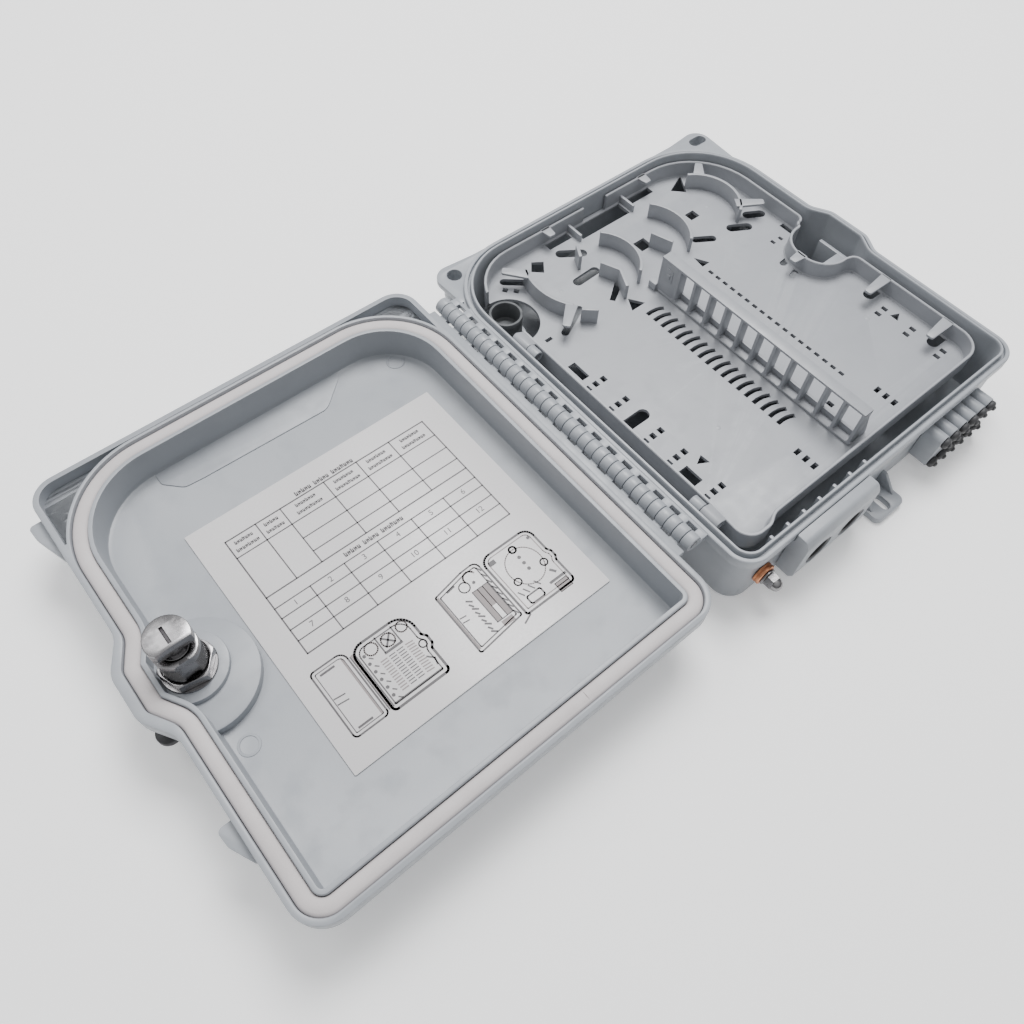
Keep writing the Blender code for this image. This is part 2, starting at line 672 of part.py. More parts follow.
STRIP_FRONT, STRIP_BACK = -4.8, 1.8
STRIP_TOP_Z = 50.6
STRIP_LOW_Y, STRIP_HIGH_Y = -97.0, 42.0
WINDOWS = 11
WINDOW_PITCH = 11.32
FIRST_POST_Y = -96.1


def adapter_strip(finish):
    """The upright wall whose deep fins hold the adapters between them."""
    foot = TRAY_TOP_Z + GAP
    strip = box("adapter_strip", (STRIP_FRONT, STRIP_LOW_Y, foot),
                (STRIP_BACK, STRIP_HIGH_Y, STRIP_TOP_Z), finish)
    openings = []
    for i in range(WINDOWS):
        low_y = FIRST_POST_Y + i * WINDOW_PITCH + 0.9
        high_y = low_y + WINDOW_PITCH - 1.8
        openings.append(box("window", (STRIP_FRONT - 2, low_y, foot + 5.0),
                            (STRIP_BACK + 2, high_y, STRIP_TOP_Z - 1.4)))
        openings.append(box("recess", (STRIP_FRONT - 2, low_y, foot + 1.4),
                            (STRIP_BACK - 1.6, high_y, foot + 5.1)))
    cut(strip, merged("windows", openings[::2]), merged("recesses", openings[1::2]))
    gusset = prism_y("strip_gusset", [[(STRIP_BACK - 0.5, foot), (9.4, foot), (9.4, foot + 1.5),
                                       (STRIP_BACK - 0.5, STRIP_TOP_Z - 4)]],
                     STRIP_LOW_Y + 0.1, STRIP_LOW_Y + 1.6)
    clip = box("strip_clip", (STRIP_FRONT - 1.6, STRIP_HIGH_Y - 0.5, foot),
               (STRIP_FRONT + 4.0, STRIP_HIGH_Y + 4.6, foot + 4.6))
    join(strip, gusset, clip)
    return strip


# ---------------------------------------------------------------- cover

def cover_shell(finish):
    shell = prism("cover_shell", [rounded(COVER_CORNERS)], FLANGE_Z, COVER_RIM_Z, finish)
    dome = prism("dome_outside", [rounded(inset(SEAL_CORNERS, 10))], COVER_BACK_Z, FLANGE_Z + 1)
    join(shell, dome, cover_lugs())
    channel = prism("gasket_channel", [rounded(inset(SEAL_CORNERS, GASKET_OUT - GAP)),
                                       rounded(inset(SEAL_CORNERS, GASKET_IN + GAP))],
                    34.5, 45)
    cavity = prism("cover_cavity", [rounded(inset(SEAL_CORNERS, COVER_CAVITY))],
                   COVER_FLOOR_Z, 45)
    cut(shell, channel, cavity, corner_pockets())
    join(shell, knuckles("cover_knuckles", cover_knuckle_ys(), -1))
    inside = prism("cover_inside", [rounded(inset(SEAL_CORNERS, 11.2))], 10, 50)
    platform = prism("lock_platform", [circle(LOCK_X, LOCK_Y - 4, 27)], COVER_FLOOR_Z - 1, 25)
    boss = prism("lock_boss", [circle(LOCK_X, LOCK_Y, 16.6)], COVER_FLOOR_Z - 1, 28)
    join(platform, boss)
    join(shell, combine(platform, inside, "INTERSECT"))
    cut(shell, prism("lock_hole", [circle(LOCK_X, LOCK_Y, HOUSING_R + GAP)], 10, 50))
    set_origin(shell, HINGE_X, 0, HINGE_Z)
    return shell


def cover_lugs():
    """Two tapered finger lugs on the lock side."""
    edge = COVER_FAR
    fins = []
    for tip, root in ((104, 78), (-64, -84)):
        fins.append(prism("lug", [rounded([(edge + 2, tip, 0), (edge - 6.5, tip, 2.2),
                                           (edge - 6.0, tip - 8, 4), (edge - 0.6, root, 2),
                                           (edge + 2, root, 0)])], 32.5, 35.5))
    return merged("cover_lugs", fins)


def corner_pockets():
    """Recesses outside the gasket, where its corners round off inside the square ones."""
    wall = 1.6
    frame = inset(COVER_CORNERS, 3.0)
    plate = prism("pocket_plate", [rounded(frame)], 33.8, 45)
    keep_in = prism("pocket_keep", [rounded(inset(SEAL_CORNERS, GASKET_OUT - GAP - wall))],
                    30, 50)
    cut(plate, keep_in)
    lower = box("pocket_lower", (-400, -200, 20), (0, 82, 60))
    cut(plate, lower)
    return plate


def gasket(finish):
    return prism("gasket", [rounded(inset(SEAL_CORNERS, GASKET_OUT)),
                            rounded(inset(SEAL_CORNERS, GASKET_IN))], 34.8, 39.0, finish)


def label_sheet(finish):
    low_z = COVER_FLOOR_Z + GAP
    return box("label_sheet", (-290, -76.5, low_z), (-149.5, 64.5, low_z + 0.4), finish)


def lock(finishes):
    origin = (LOCK_X, LOCK_Y, 0)
    bore = PLUG_R + GAP
    turned("lock_housing", [(bore, 52), (HOUSING_R - 0.6, 52), (HOUSING_R, 51.4),
                            (HOUSING_R, 19.7), (12.4, 19.7), (12.4, 18.4), (11.4, 17.4),
                            (bore, 17.4), (bore, 52)], finishes["chrome"], origin, sides=24)
    turned("lock_washer", washer_profile(12.2, HOUSING_R + GAP, 28.3, 29.3),
           finishes["chrome"], origin, sides=24)
    prism("lock_nut", [hexagon(LOCK_X, LOCK_Y, 24.4, 12),
                       circle(LOCK_X, LOCK_Y, HOUSING_R + GAP)], 29.6, 35.0,
          finishes["chrome"])
    lock_plug(finishes["chrome"])
    lock_cap(finishes["black"])


def lock_plug(finish):
    """The turning core, with a D-shaped cam head that has a key slot across it."""
    origin = (LOCK_X, LOCK_Y, 0)
    plug = turned("lock_plug", [(0, 58), (5.2, 58), (5.2, 52.4), (PLUG_R, 52.4), (PLUG_R, 17.8),
                                (0, 17.8)], finish, origin, sides=28)
    head = prism("cam_head", [arc(LOCK_X, LOCK_Y, HOUSING_R, -32, 212)], 55.6, 62)
    join(plug, head)
    cut(plug, box("end_slot", (LOCK_X - 1, LOCK_Y - 7, 60.4), (LOCK_X + 1, LOCK_Y + 5.5, 65)))
    cut(plug, box("key_slot", (LOCK_X - 1, LOCK_Y - 4, 15), (LOCK_X + 1, LOCK_Y + 4, 23)))
    return plug


CAP_PIVOT = (LOCK_X - 21.5, LOCK_Y - 13.0)


def lock_cap(finish):
    """The flat dust cap over the keyhole, on a pivot screw beside the lock."""
    px, py = CAP_PIVOT
    cap = prism("lock_cap", [circle(LOCK_X, LOCK_Y, 13.5)], 13.2, 16.9, finish)
    lean = math.degrees(math.atan2(LOCK_Y - py, LOCK_X - px))
    reach = math.hypot(LOCK_X - px, LOCK_Y - py)
    middle = ((LOCK_X + px) / 2, (LOCK_Y + py) / 2)
    join(cap, prism("cap_arm", [slot(*middle, reach + 11, 11, lean)], 13.2, 16.9))
    cut(cap, prism("cap_eye", [circle(px, py, 2.1)], 10, 20))
    set_origin(cap, px, py, 15)
    return cap


def cap_pivot_screw(finish):
    px, py = CAP_PIVOT
    return turned("cap_pivot_screw", [(0, 31.2), (1.8, 31.2), (1.8, 12.9), (3.6, 12.9), (3.4, 11.4),
                                      (0, 11.0)], finish, (px, py, 0), sides=14)


# ---------------------------------------------------------------- assembly

def main():
    clear_scene()
    finishes = {
        "shell": material("grey_abs", (0.46, 0.50, 0.51), 0.42),
        "tray": material("grey_abs_tray", (0.49, 0.52, 0.53), 0.45),
        "gasket": material("pale_foam", (0.70, 0.64, 0.63), 0.85),
        "paper": material("label_paper", (0.74, 0.73, 0.73), 0.6),
        "chrome": material("chrome", (0.72, 0.72, 0.72), 0.12, 1.0),
        "zinc": material("zinc_plate", (0.55, 0.56, 0.58), 0.35, 1.0),
        "copper": material("copper", (0.60, 0.29, 0.16), 0.4, 1.0),
        "brass": material("brass", (0.70, 0.52, 0.25), 0.3, 1.0),
        "steel": material("steel", (0.60, 0.60, 0.60), 0.3, 1.0),
        "black": material("black_rubber", (0.02, 0.02, 0.02), 0.6),
    }
    base_shell(finishes["shell"])
    hinge_pin(finishes["steel"])
    rear_entry_grommet(finishes["black"])
    cable_entry_block(finishes["shell"])
    for number, x in enumerate(PORT_XS, 1):
        port_grommet(number, x, finishes["black"])
    drop_outlet_block(finishes["shell"])
    for row, z in zip(("lower", "upper"), OUTLET_ZS):
        for number, x in enumerate(OUTLET_XS, 1):
            drop_plug(f"drop_plug_{row}_{number}", x, z, finishes["black"])
    ground_terminal(finishes)
    ground_nut(finishes["chrome"])
    lock_catch(finishes["shell"])
    tray_pivot_pins(finishes["steel"])
    cable_clamps(finishes)
    splice_tray(finishes["tray"])
    adapter_strip(finishes["tray"])
    cover_shell(finishes["shell"])
    gasket(finishes["gasket"])
    label_sheet(finishes["paper"])
    lock(finishes)
    cap_pivot_screw(finishes["steel"])


main()
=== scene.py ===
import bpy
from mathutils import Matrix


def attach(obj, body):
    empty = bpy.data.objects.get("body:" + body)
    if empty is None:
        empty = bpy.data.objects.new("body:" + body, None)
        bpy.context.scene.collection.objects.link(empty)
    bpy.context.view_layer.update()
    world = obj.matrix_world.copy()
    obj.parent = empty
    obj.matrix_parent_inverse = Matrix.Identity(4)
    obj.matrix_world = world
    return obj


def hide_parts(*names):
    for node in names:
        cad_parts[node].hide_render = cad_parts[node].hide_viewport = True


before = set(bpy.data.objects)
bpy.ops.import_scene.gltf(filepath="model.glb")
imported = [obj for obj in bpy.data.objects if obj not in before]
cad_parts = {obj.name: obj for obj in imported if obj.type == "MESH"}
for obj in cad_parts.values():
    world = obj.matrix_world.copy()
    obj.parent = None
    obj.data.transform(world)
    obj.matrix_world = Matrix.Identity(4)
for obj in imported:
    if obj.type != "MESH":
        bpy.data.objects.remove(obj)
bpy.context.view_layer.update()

# Looks of the wall-mounted fiber termination box. Lengths are millimetres in the CAD's
# frame, and the helpers scale them to metres.

import math

import bmesh
import bpy
from mathutils import Matrix, Vector

MM = 0.001
SAGITTA = 0.035         # most that a chord strays from its arc
MOST_TURN = math.radians(20)    # most that one chord of an arc turns
SHARP = math.radians(32)        # an edge that turns by more stays sharp
WELD = 1.5e-6                   # points closer than this, in metres, become one
SHORTEST = 5e-7                 # shortest edge kept, in metres

BASE_LEFT, BASE_RIGHT = -106.0, 106.0
BASE_BOTTOM, BASE_TOP = -117.5, 117.0
RIM_Z = 39.4
WALL_INSET = 2.0
CAVITY_INSET = 5.5
FLOOR = 2.5
RIM_FOOT_Z = 33.0
TONGUE_Z = 40.6
WALL_FACE_Y = BASE_BOTTOM + WALL_INSET - 0.3

HINGE_X, HINGE_Z = -115.0, 40.0
KNUCKLE_R = 4.4
HINGE_PITCH = 10.75
COVER_KNUCKLES = 17
HINGE_MID_Y = 2.0

COVER_NEAR, COVER_FAR = -124.1, -336.0
COVER_HALF = 120.0
COVER_RIM_Z = 40.0
COVER_BACK_Z = 20.0
COVER_FLOOR_Z = 22.4
FLANGE_Z = 31.5
SEAL_CHANNEL = (3.0, 10.2)
GASKET_OUT, GASKET_IN = 3.06, 10.14
COVER_CAVITY = 12.5

LOCK_X, LOCK_Y = -318.5, 3.0
HOUSING_R = 9.6
NUT_ZS = (31.7, 37.1)
HEAD_ZS = (55.6, 62.0)
CAP_ZS = (13.2, 16.9)
CAP_PIVOT = (LOCK_X - 21.5, LOCK_Y - 13.0)
CAP_ARM_R = 5.5

TRAY_LEFT, TRAY_RIGHT = -91.0, 98.5
TRAY_BOTTOM, TRAY_TOP = -103.0, 110.8
TRAY_Z, TRAY_TOP_Z = 24.0, 26.0
TRAY_RIM_Z = 36.0
PIVOT_X, PIVOT_Z = -95.5, 35.0
PIVOT_LUGS = ((46.0, 57.0), (-91.0, -80.0))
NOTCH_X = 89.8

BASE_CORNERS = [
    (BASE_LEFT, BASE_BOTTOM, 13), (BASE_RIGHT, BASE_BOTTOM, 13),
    (BASE_RIGHT, -22, 9), (BASE_RIGHT + 6.5, -11, 10),
    (BASE_RIGHT + 6.5, 15, 10), (BASE_RIGHT, 26, 9),
    (BASE_RIGHT, BASE_TOP, 50), (BASE_LEFT, BASE_TOP, 43),
]
COVER_CORNERS = [
    (COVER_NEAR, COVER_HALF, 13), (COVER_FAR, COVER_HALF, 13),
    (COVER_FAR, 29, 12), (COVER_FAR - 9.3, 14, 12),
    (COVER_FAR - 9.3, -10, 12), (COVER_FAR, -25, 12),
    (COVER_FAR, -COVER_HALF, 15), (COVER_NEAR, -COVER_HALF, 15),
]
SEAL_CORNERS = [
    (COVER_NEAR, COVER_HALF - 2, 46), (COVER_FAR, COVER_HALF - 2, 52),
    (COVER_FAR, 27, 10), (COVER_FAR - 7.5, 14, 10),
    (COVER_FAR - 7.5, -9, 10), (COVER_FAR, -22, 10),
    (COVER_FAR, -COVER_HALF, 15), (COVER_NEAR, -COVER_HALF, 15),
]
TRAY_CORNERS = [
    (TRAY_LEFT - 1.5, TRAY_BOTTOM - 3.4, 9.5), (TRAY_LEFT + 15, TRAY_BOTTOM - 3.4, 9),
    (TRAY_LEFT + 21, TRAY_BOTTOM, 9), (TRAY_RIGHT, TRAY_BOTTOM, 14),
    (TRAY_RIGHT, -15.5, 6), (91.5, -13.2, 9),
    (NOTCH_X - 16, -13.2, 15), (NOTCH_X - 16, 19.6, 15),
    (91.5, 19.6, 3), (92.5, 22.5, 2), (TRAY_RIGHT, 22.5, 5),
    (TRAY_RIGHT, TRAY_TOP, 42.5), (TRAY_LEFT, TRAY_TOP, 32),
    (TRAY_LEFT, -80, 6),
]


# ---------------------------------------------------------------- finishes

def add_node(tree, kind, *inputs, **settings):
    """A new shader node. Each input is a socket and the value, or the output, that it takes."""
    node = tree.nodes.new("ShaderNode" + kind)
    for setting, value in settings.items():
        setattr(node, setting, value)
    for socket, given in inputs:
        if isinstance(given, bpy.types.NodeSocket):
            tree.links.new(given, node.inputs[socket])
        else:
            node.inputs[socket].default_value = given
    return node


class Finish:
    """Builds one procedural material, node by node."""

    def __init__(self, name, colour, roughness, metallic=0.0):
        self.made = bpy.data.materials.new(name)
        self.made.use_nodes = True
        self.tree = self.made.node_tree
        self.shader = self.tree.nodes["Principled BSDF"]
        self.shader.inputs["Metallic"].default_value = metallic
        self.colour = self.add("RGB").outputs[0]
        self.colour.default_value = (*colour, 1.0)
        self.roughness = roughness
        self.place = self.add("TexCoord").outputs["Object"]
        self.height = None

    def add(self, kind, *inputs, **settings):
        return add_node(self.tree, kind, *inputs, **settings)

    def noise(self, scale, detail, stretch=None):
        place = self.place
        if stretch:
            place = self.add("Mapping", ("Scale", stretch), ("Vector", place)).outputs[0]
        return self.add("TexNoise", ("Scale", scale), ("Detail", detail),
                        ("Vector", place)).outputs["Fac"]

    def spread(self, source, low, high, to_high=1.0):
        """Stretches low to high over 0 to to_high."""
        return self.add("MapRange", ("Value", source), ("From Min", low), ("From Max", high),
                        ("To Min", 0.0), ("To Max", to_high)).outputs["Result"]

    def mask(self, low, high, *noise):
        """Noise stretched so that low is 0 and high is 1."""
        return self.spread(self.noise(*noise), low, high)

    def tint(self, mask, colour, strength):
        """Mixes a colour in where the mask is high."""
        factor = self.spread(mask, 0.0, 1.0, strength)
        self.colour = self.add("Mix", ("Factor", factor), ("A", self.colour),
                               ("B", (*colour, 1.0)), data_type="RGBA").outputs["Result"]

    def roughen(self, *parts):
        """Roughness as the finish's own value plus each (mask, amount)."""
        amounts = [self.spread(mask, 0.0, 1.0, amount) for mask, amount in parts]
        total = amounts[0]
        for amount in amounts[1:]:
            total = self.add("Math", (0, total), (1, amount)).outputs[0]
        total = self.add("Math", (0, total), (1, self.roughness), use_clamp=True).outputs[0]
        self.tree.links.new(total, self.shader.inputs["Roughness"])

    def bump(self, source, strength, distance_mm):
        below = [("Normal", self.height)] if self.height else []
        self.height = self.add("Bump", ("Strength", strength), ("Distance", distance_mm * MM),
                               ("Height", source), *below).outputs["Normal"]

    def edges(self, low=0.505, high=0.56):
        """High on worn convex edges, broken up by noise."""
        worn = self.spread(self.add("NewGeometry").outputs["Pointiness"], low, high)
        return self.add("Math", (0, worn), (1, self.mask(0.35, 0.65, 160, 4)),
                        operation="MULTIPLY").outputs[0]

    def done(self):
        self.tree.links.new(self.colour, self.shader.inputs["Base Color"])
        if self.height:
            self.tree.links.new(self.height, self.shader.inputs["Normal"])
        return self.made


def scaled(colour, factor):
    return tuple(factor * value for value in colour)


def moulded_plastic(name, colour, light, dark):
    """Satin ABS: flow marks, fine spark-eroded grain, hairline scratches, rubbed edges."""
    finish = Finish(name, colour, 0.36)
    flow = finish.mask(0.3, 0.7, 22, 3, (1.0, 1.6, 1.0))
    dust = finish.mask(0.5, 0.75, 75, 5)
    scratch = finish.mask(0.68, 0.74, 140, 2, (1.0, 24.0, 1.0))
    worn = finish.edges()
    finish.tint(flow, light, 0.35)
    finish.tint(dust, dark, 0.22)
    finish.tint(worn, light, 0.55)
    finish.roughen((flow, 0.10), (dust, 0.10), (scratch, 0.10), (worn, -0.06))
    finish.bump(finish.noise(1500, 2), 0.16, 0.10)
    finish.bump(finish.noise(260, 3), 0.10, 0.25)
    return finish.done()


def plated_metal(name, colour, dark, roughness):
    """Plated or machined metal with lathe lines, tarnish in patches and bright edges."""
    finish = Finish(name, colour, roughness, 1.0)
    tarnish = finish.mask(0.45, 0.75, 260, 4)
    lines = finish.noise(900, 2, (1.0, 1.0, 6.0))
    finish.tint(tarnish, dark, 0.45)
    finish.tint(finish.edges(0.52, 0.60), tuple(min(1.0, c * 1.2) for c in colour), 0.6)
    finish.roughen((tarnish, 0.16), (lines, 0.12))
    finish.bump(lines, 0.12, 0.05)
    return finish.done()


def soft_foam(name, colour, mark, pore):
    """Poured sealing foam: a skin with fine pores and faint handling marks."""
    finish = Finish(name, colour, 0.62)
    marks = finish.mask(0.45, 0.7, 60, 4)
    pores = finish.mask(0.55, 0.75, 1900, 3)
    finish.tint(marks, mark, 0.35)
    finish.tint(pores, pore, 0.22)
    finish.roughen((marks, 0.12), (pores, 0.15))
    finish.bump(finish.noise(1900, 3), 0.30, 0.15)
    finish.bump(finish.noise(90, 2), 0.15, 0.6)
    return finish.done()


def printed_paper(name, colour):
    """Coated self-adhesive sheet: paper fibres, slight cockle, softened by handling."""
    finish = Finish(name, colour, 0.24)
    fibre_noise = (700, 4, (1.0, 2.2, 1.0))
    fibres = finish.mask(0.4, 0.7, *fibre_noise)
    cloud = finish.mask(0.4, 0.7, 26, 4)
    finish.tint(fibres, scaled(colour, 0.93), 0.5)
    finish.tint(cloud, scaled(colour, 0.95), 0.5)
    finish.roughen((fibres, 0.08), (cloud, 0.10))
    finish.bump(finish.noise(*fibre_noise), 0.12, 0.06)
    finish.bump(finish.noise(40, 2), 0.15, 0.35)
    return finish.done()


def printer_ink(name, colour, faded):
    """Toner that is thin in places, so the paper shows through."""
    finish = Finish(name, colour, 0.45)
    thin = finish.mask(0.45, 0.75, 520, 3)
    finish.tint(thin, faded, 0.5)
    finish.roughen((thin, 0.15))
    finish.bump(finish.noise(900, 2), 0.1, 0.03)
    return finish.done()


def moulded_rubber(name, colour, dust):
    """Matt rubber with a bloom of dust and rubbed edges."""
    finish = Finish(name, colour, 0.52)
    bloom = finish.mask(0.5, 0.8, 180, 5)
    worn = finish.edges(0.51, 0.58)
    finish.tint(bloom, dust, 0.45)
    finish.tint(worn, scaled(dust, 1.4), 0.5)
    finish.roughen((bloom, 0.25), (worn, -0.08))
    finish.bump(finish.noise(1300, 3), 0.25, 0.10)
    return finish.done()


FINISHES = {name: look(f"{name}_looks", *given) for name, look, *given in (
    ("grey_abs", moulded_plastic, (0.285, 0.302, 0.328), (0.345, 0.362, 0.388),
     (0.23, 0.245, 0.268)),
    ("grey_abs_tray", moulded_plastic, (0.295, 0.305, 0.328), (0.35, 0.362, 0.385),
     (0.24, 0.25, 0.27)),
    ("pale_foam", soft_foam, (0.55, 0.515, 0.515), (0.47, 0.435, 0.43), (0.38, 0.35, 0.35)),
    ("label_paper", printed_paper, (0.60, 0.585, 0.59)),
    ("label_ink", printer_ink, (0.045, 0.04, 0.045), (0.15, 0.145, 0.155)),
    ("label_grey_ink", printer_ink, (0.20, 0.17, 0.17), (0.32, 0.30, 0.30)),
    ("chrome", plated_metal, (0.25, 0.245, 0.25), (0.11, 0.105, 0.11), 0.16),
    ("zinc_plate", plated_metal, (0.55, 0.56, 0.58), (0.36, 0.36, 0.36), 0.28),
    ("copper", plated_metal, (0.62, 0.28, 0.15), (0.28, 0.12, 0.07), 0.30),
    ("brass", plated_metal, (0.72, 0.53, 0.25), (0.38, 0.26, 0.11), 0.24),
    ("steel", plated_metal, (0.58, 0.58, 0.59), (0.34, 0.33, 0.32), 0.25),
    ("black_rubber", moulded_rubber, (0.022, 0.022, 0.024), (0.085, 0.085, 0.09)),
    ("grey_rubber", moulded_rubber, (0.075, 0.08, 0.085), (0.17, 0.175, 0.18)),
)}


# ---------------------------------------------------------------- outlines

def chords(radius, turn):
    """How many chords follow an arc of this radius that turns by this angle."""
    step = 2 * math.acos(max(0.0, 1 - SAGITTA / max(radius, 0.2)))
    return max(2, math.ceil(abs(turn) / min(step, MOST_TURN)))


def arc(cx, cy, radius, start, end):
    """Points on an arc; angles in degrees, both ends included."""
    count = chords(radius, math.radians(end - start))
    angles = [math.radians(start + (end - start) * i / count) for i in range(count + 1)]
    return [(cx + radius * math.cos(a), cy + radius * math.sin(a)) for a in angles]


def circle(cx, cy, radius):
    return arc(cx, cy, radius, 0, 360)[:-1]


def rectangle(x0, y0, x1, y1):
    return [(x0, y0), (x1, y0), (x1, y1), (x0, y1)]


def rounded_rectangle(x0, y0, x1, y1, radius):
    return rounded([(x, y, radius) for x, y in rectangle(x0, y0, x1, y1)])


def moved(points, cx, cy, degrees):
    turn = Matrix.Rotation(math.radians(degrees), 2)
    return [tuple(turn @ Vector(p) + Vector((cx, cy))) for p in points]


def turned_rectangle(cx, cy, length, width, degrees):
    return moved(rectangle(-length / 2, -width / 2, length / 2, width / 2), cx, cy, degrees)


def slot_between(start, end, width):
    """A slot with round ends, its centreline running between two points."""
    run = Vector(end) - Vector(start)
    half = run.length / 2 - width / 2
    points = arc(half, 0, width / 2, -90, 90) + arc(-half, 0, width / 2, 90, 270)
    middle = (Vector(start) + Vector(end)) / 2
    return moved(points, *middle, math.degrees(math.atan2(run.y, run.x)))


def strip_along(points, width):
    """A band of this width along an open line."""
    sides = [[], []]
    for i, here in enumerate(points):
        before = Vector(points[max(i - 1, 0)])
        after = Vector(points[min(i + 1, len(points) - 1)])
        into = (Vector(here) - before).normalized() if i else None
        out = (after - Vector(here)).normalized() if i < len(points) - 1 else None
        normals = [Vector((-d.y, d.x)) for d in (into, out) if d is not None]
        normal = sum(normals, Vector((0, 0)))
        normal *= len(normals) / normal.length_squared
        sides[0].append(tuple(Vector(here) + normal * width / 2))
        sides[1].append(tuple(Vector(here) - normal * width / 2))
    return sides[0] + sides[1][::-1]


def corner_arc(before, corner, after, steps=None):
    x, y, radius = corner
    here = Vector((x, y))
    into = (Vector(before[:2]) - here).normalized()
    out = (Vector(after[:2]) - here).normalized()
    if radius <= 0:
        return [(x, y)]
    half = into.angle(out) / 2
    centre = here + (into + out).normalized() * (radius / math.sin(half))
    start = here + into * (radius / math.tan(half)) - centre
    end = here + out * (radius / math.tan(half)) - centre
    turn = math.atan2(start.x * end.y - start.y * end.x, start.dot(end))
    if steps is None:
        steps = chords(radius, turn)
    return [tuple(centre + Matrix.Rotation(turn * k / steps, 2) @ start)
            for k in range(steps + 1)]


def rounded(corners, steps=None):
    """The outline through (x, y, radius) corners, each rounded by its radius."""
    points = []
    for i, corner in enumerate(corners):
        points += corner_arc(corners[i - 1], corner, corners[(i + 1) % len(corners)], steps)
    return points


def inset(corners, distance):
    """Anticlockwise (x, y, radius) corners moved inwards, with concentric rounding."""
    result = []
    for i, (x, y, radius) in enumerate(corners):
        here = Vector((x, y))
        before = (here - Vector(corners[i - 1][:2])).normalized()
        after = (Vector(corners[(i + 1) % len(corners)][:2]) - here).normalized()
        normals = Vector((-before.y, before.x)) + Vector((-after.y, after.x))
        point = here + normals * (distance * 2 / normals.length_squared)
        convex = before.x * after.y - before.y * after.x > 0
        new_radius = radius - distance if convex else radius + distance
        result.append((point.x, point.y, max(new_radius, 0.6)))
    return result


def area(loop):
    return sum(a[0] * b[1] - b[0] * a[1] for a, b in zip(loop, loop[1:] + loop[:1])) / 2


# ---------------------------------------------------------------- solids

def placed(name, data):
    """A new object in the scene."""
    made = bpy.data.objects.new(name, data)
    bpy.context.scene.collection.objects.link(made)
    return made


def evaluated(obj):
    """The mesh that an object's curve or modifiers make."""
    bpy.context.view_layer.update()
    graph = bpy.context.evaluated_depsgraph_get()
    return bpy.data.meshes.new_from_object(obj.evaluated_get(graph))


def smoothed(mesh):
    mesh.shade_smooth()
    mesh.set_sharp_from_angle(angle=SHARP)


def add_curve(form, curve, *shift):
    """Adds the mesh that a curve makes to a bmesh, moved by (x, y, z) millimetres."""
    guide = placed(curve.name, curve)
    mesh = evaluated(guide)
    mesh.transform(Matrix.Translation([distance * MM for distance in shift]))
    form.from_mesh(mesh)
    bpy.data.objects.remove(guide)
    bpy.data.curves.remove(curve)
    bpy.data.meshes.remove(mesh)


def bridge(form, lower, upper):
    """Faces between two rings of points."""
    for i in range(len(lower)):
        j = (i + 1) % len(lower)
        form.faces.new((lower[i], lower[j], upper[j], upper[i]))


def solid(name, form, turn=None, smooth=True):
    """Ends a bmesh as an object, with smooth faces and sharp edges."""
    bmesh.ops.remove_doubles(form, verts=form.verts, dist=WELD)
    bmesh.ops.dissolve_degenerate(form, edges=form.edges, dist=SHORTEST)
    bmesh.ops.recalc_face_normals(form, faces=form.faces)
    mesh = bpy.data.meshes.new(name)
    form.to_mesh(mesh)
    form.free()
    if turn is not None:
        mesh.transform(turn)
    if smooth:
        smoothed(mesh)
    return placed(name, mesh)


def prism(name, loops, z0, z1, bevel=0.0, turn=None):
    """Extrudes an outline (and the holes in it) from z0 to z1, with rounded edges."""
    curve = bpy.data.curves.new(name, "CURVE")
    curve.dimensions = "2D"
    curve.fill_mode = "BOTH"
    curve.extrude = ((z1 - z0) / 2 - bevel) * MM
    curve.bevel_depth = bevel * MM
    curve.bevel_resolution = 1
    curve.offset = -bevel * MM
    for number, loop in enumerate(loops):
        if (area(loop) > 0) == (number > 0):
            loop = loop[::-1]
        spline = curve.splines.new("POLY")
        spline.points.add(len(loop) - 1)
        spline.use_cyclic_u = True
        for point, (x, y) in zip(spline.points, loop):
            point.co = (x * MM, y * MM, 0, 1)
    form = bmesh.new()
    add_curve(form, curve, 0, 0, (z0 + z1) / 2)
    return solid(name, form, turn)


TURN_Y = Matrix.Rotation(math.radians(90), 4, "X")
TURN_X = Matrix(((0, 0, 1, 0), (1, 0, 0, 0), (0, 1, 0, 0), (0, 0, 0, 1)))


def prism_y(name, loops, y0, y1, bevel=0.0):
    """Extrudes (x, z) outlines along Y."""
    return prism(name, loops, -y1, -y0, bevel, TURN_Y)


def prism_x(name, loops, x0, x1, bevel):
    """Extrudes (y, z) outlines along X."""
    return prism(name, loops, x0, x1, bevel, TURN_X)


def block(name, low, high, bevel=0.3):
    """A box with rounded edges."""
    form = bmesh.new()
    bmesh.ops.create_cube(form, size=1)
    bmesh.ops.scale(form, vec=[(b - a) * MM for a, b in zip(low, high)], verts=form.verts)
    bmesh.ops.translate(form, vec=[(a + b) / 2 * MM for a, b in zip(low, high)],
                        verts=form.verts)
    if bevel:
        bmesh.ops.bevel(form, geom=form.edges[:], offset=bevel * MM, segments=2,
                        profile=0.5, affect="EDGES")
    return solid(name, form)


def loft(name, corners, profile, closed=False, steps=14):
    """Sweeps an (inset, z) profile round an outline. An open profile is capped."""
    form = bmesh.new()
    rings = []
    for distance, z in profile:
        outline = rounded(inset(corners, distance), steps)
        rings.append([form.verts.new((x * MM, y * MM, z * MM)) for x, y in outline])
    for lower, upper in zip(rings, rings[1:] + rings[:closed]):
        bridge(form, lower, upper)
    if not closed:
        form.faces.new(rings[0])
        form.faces.new(rings[-1])
    return solid(name, form)


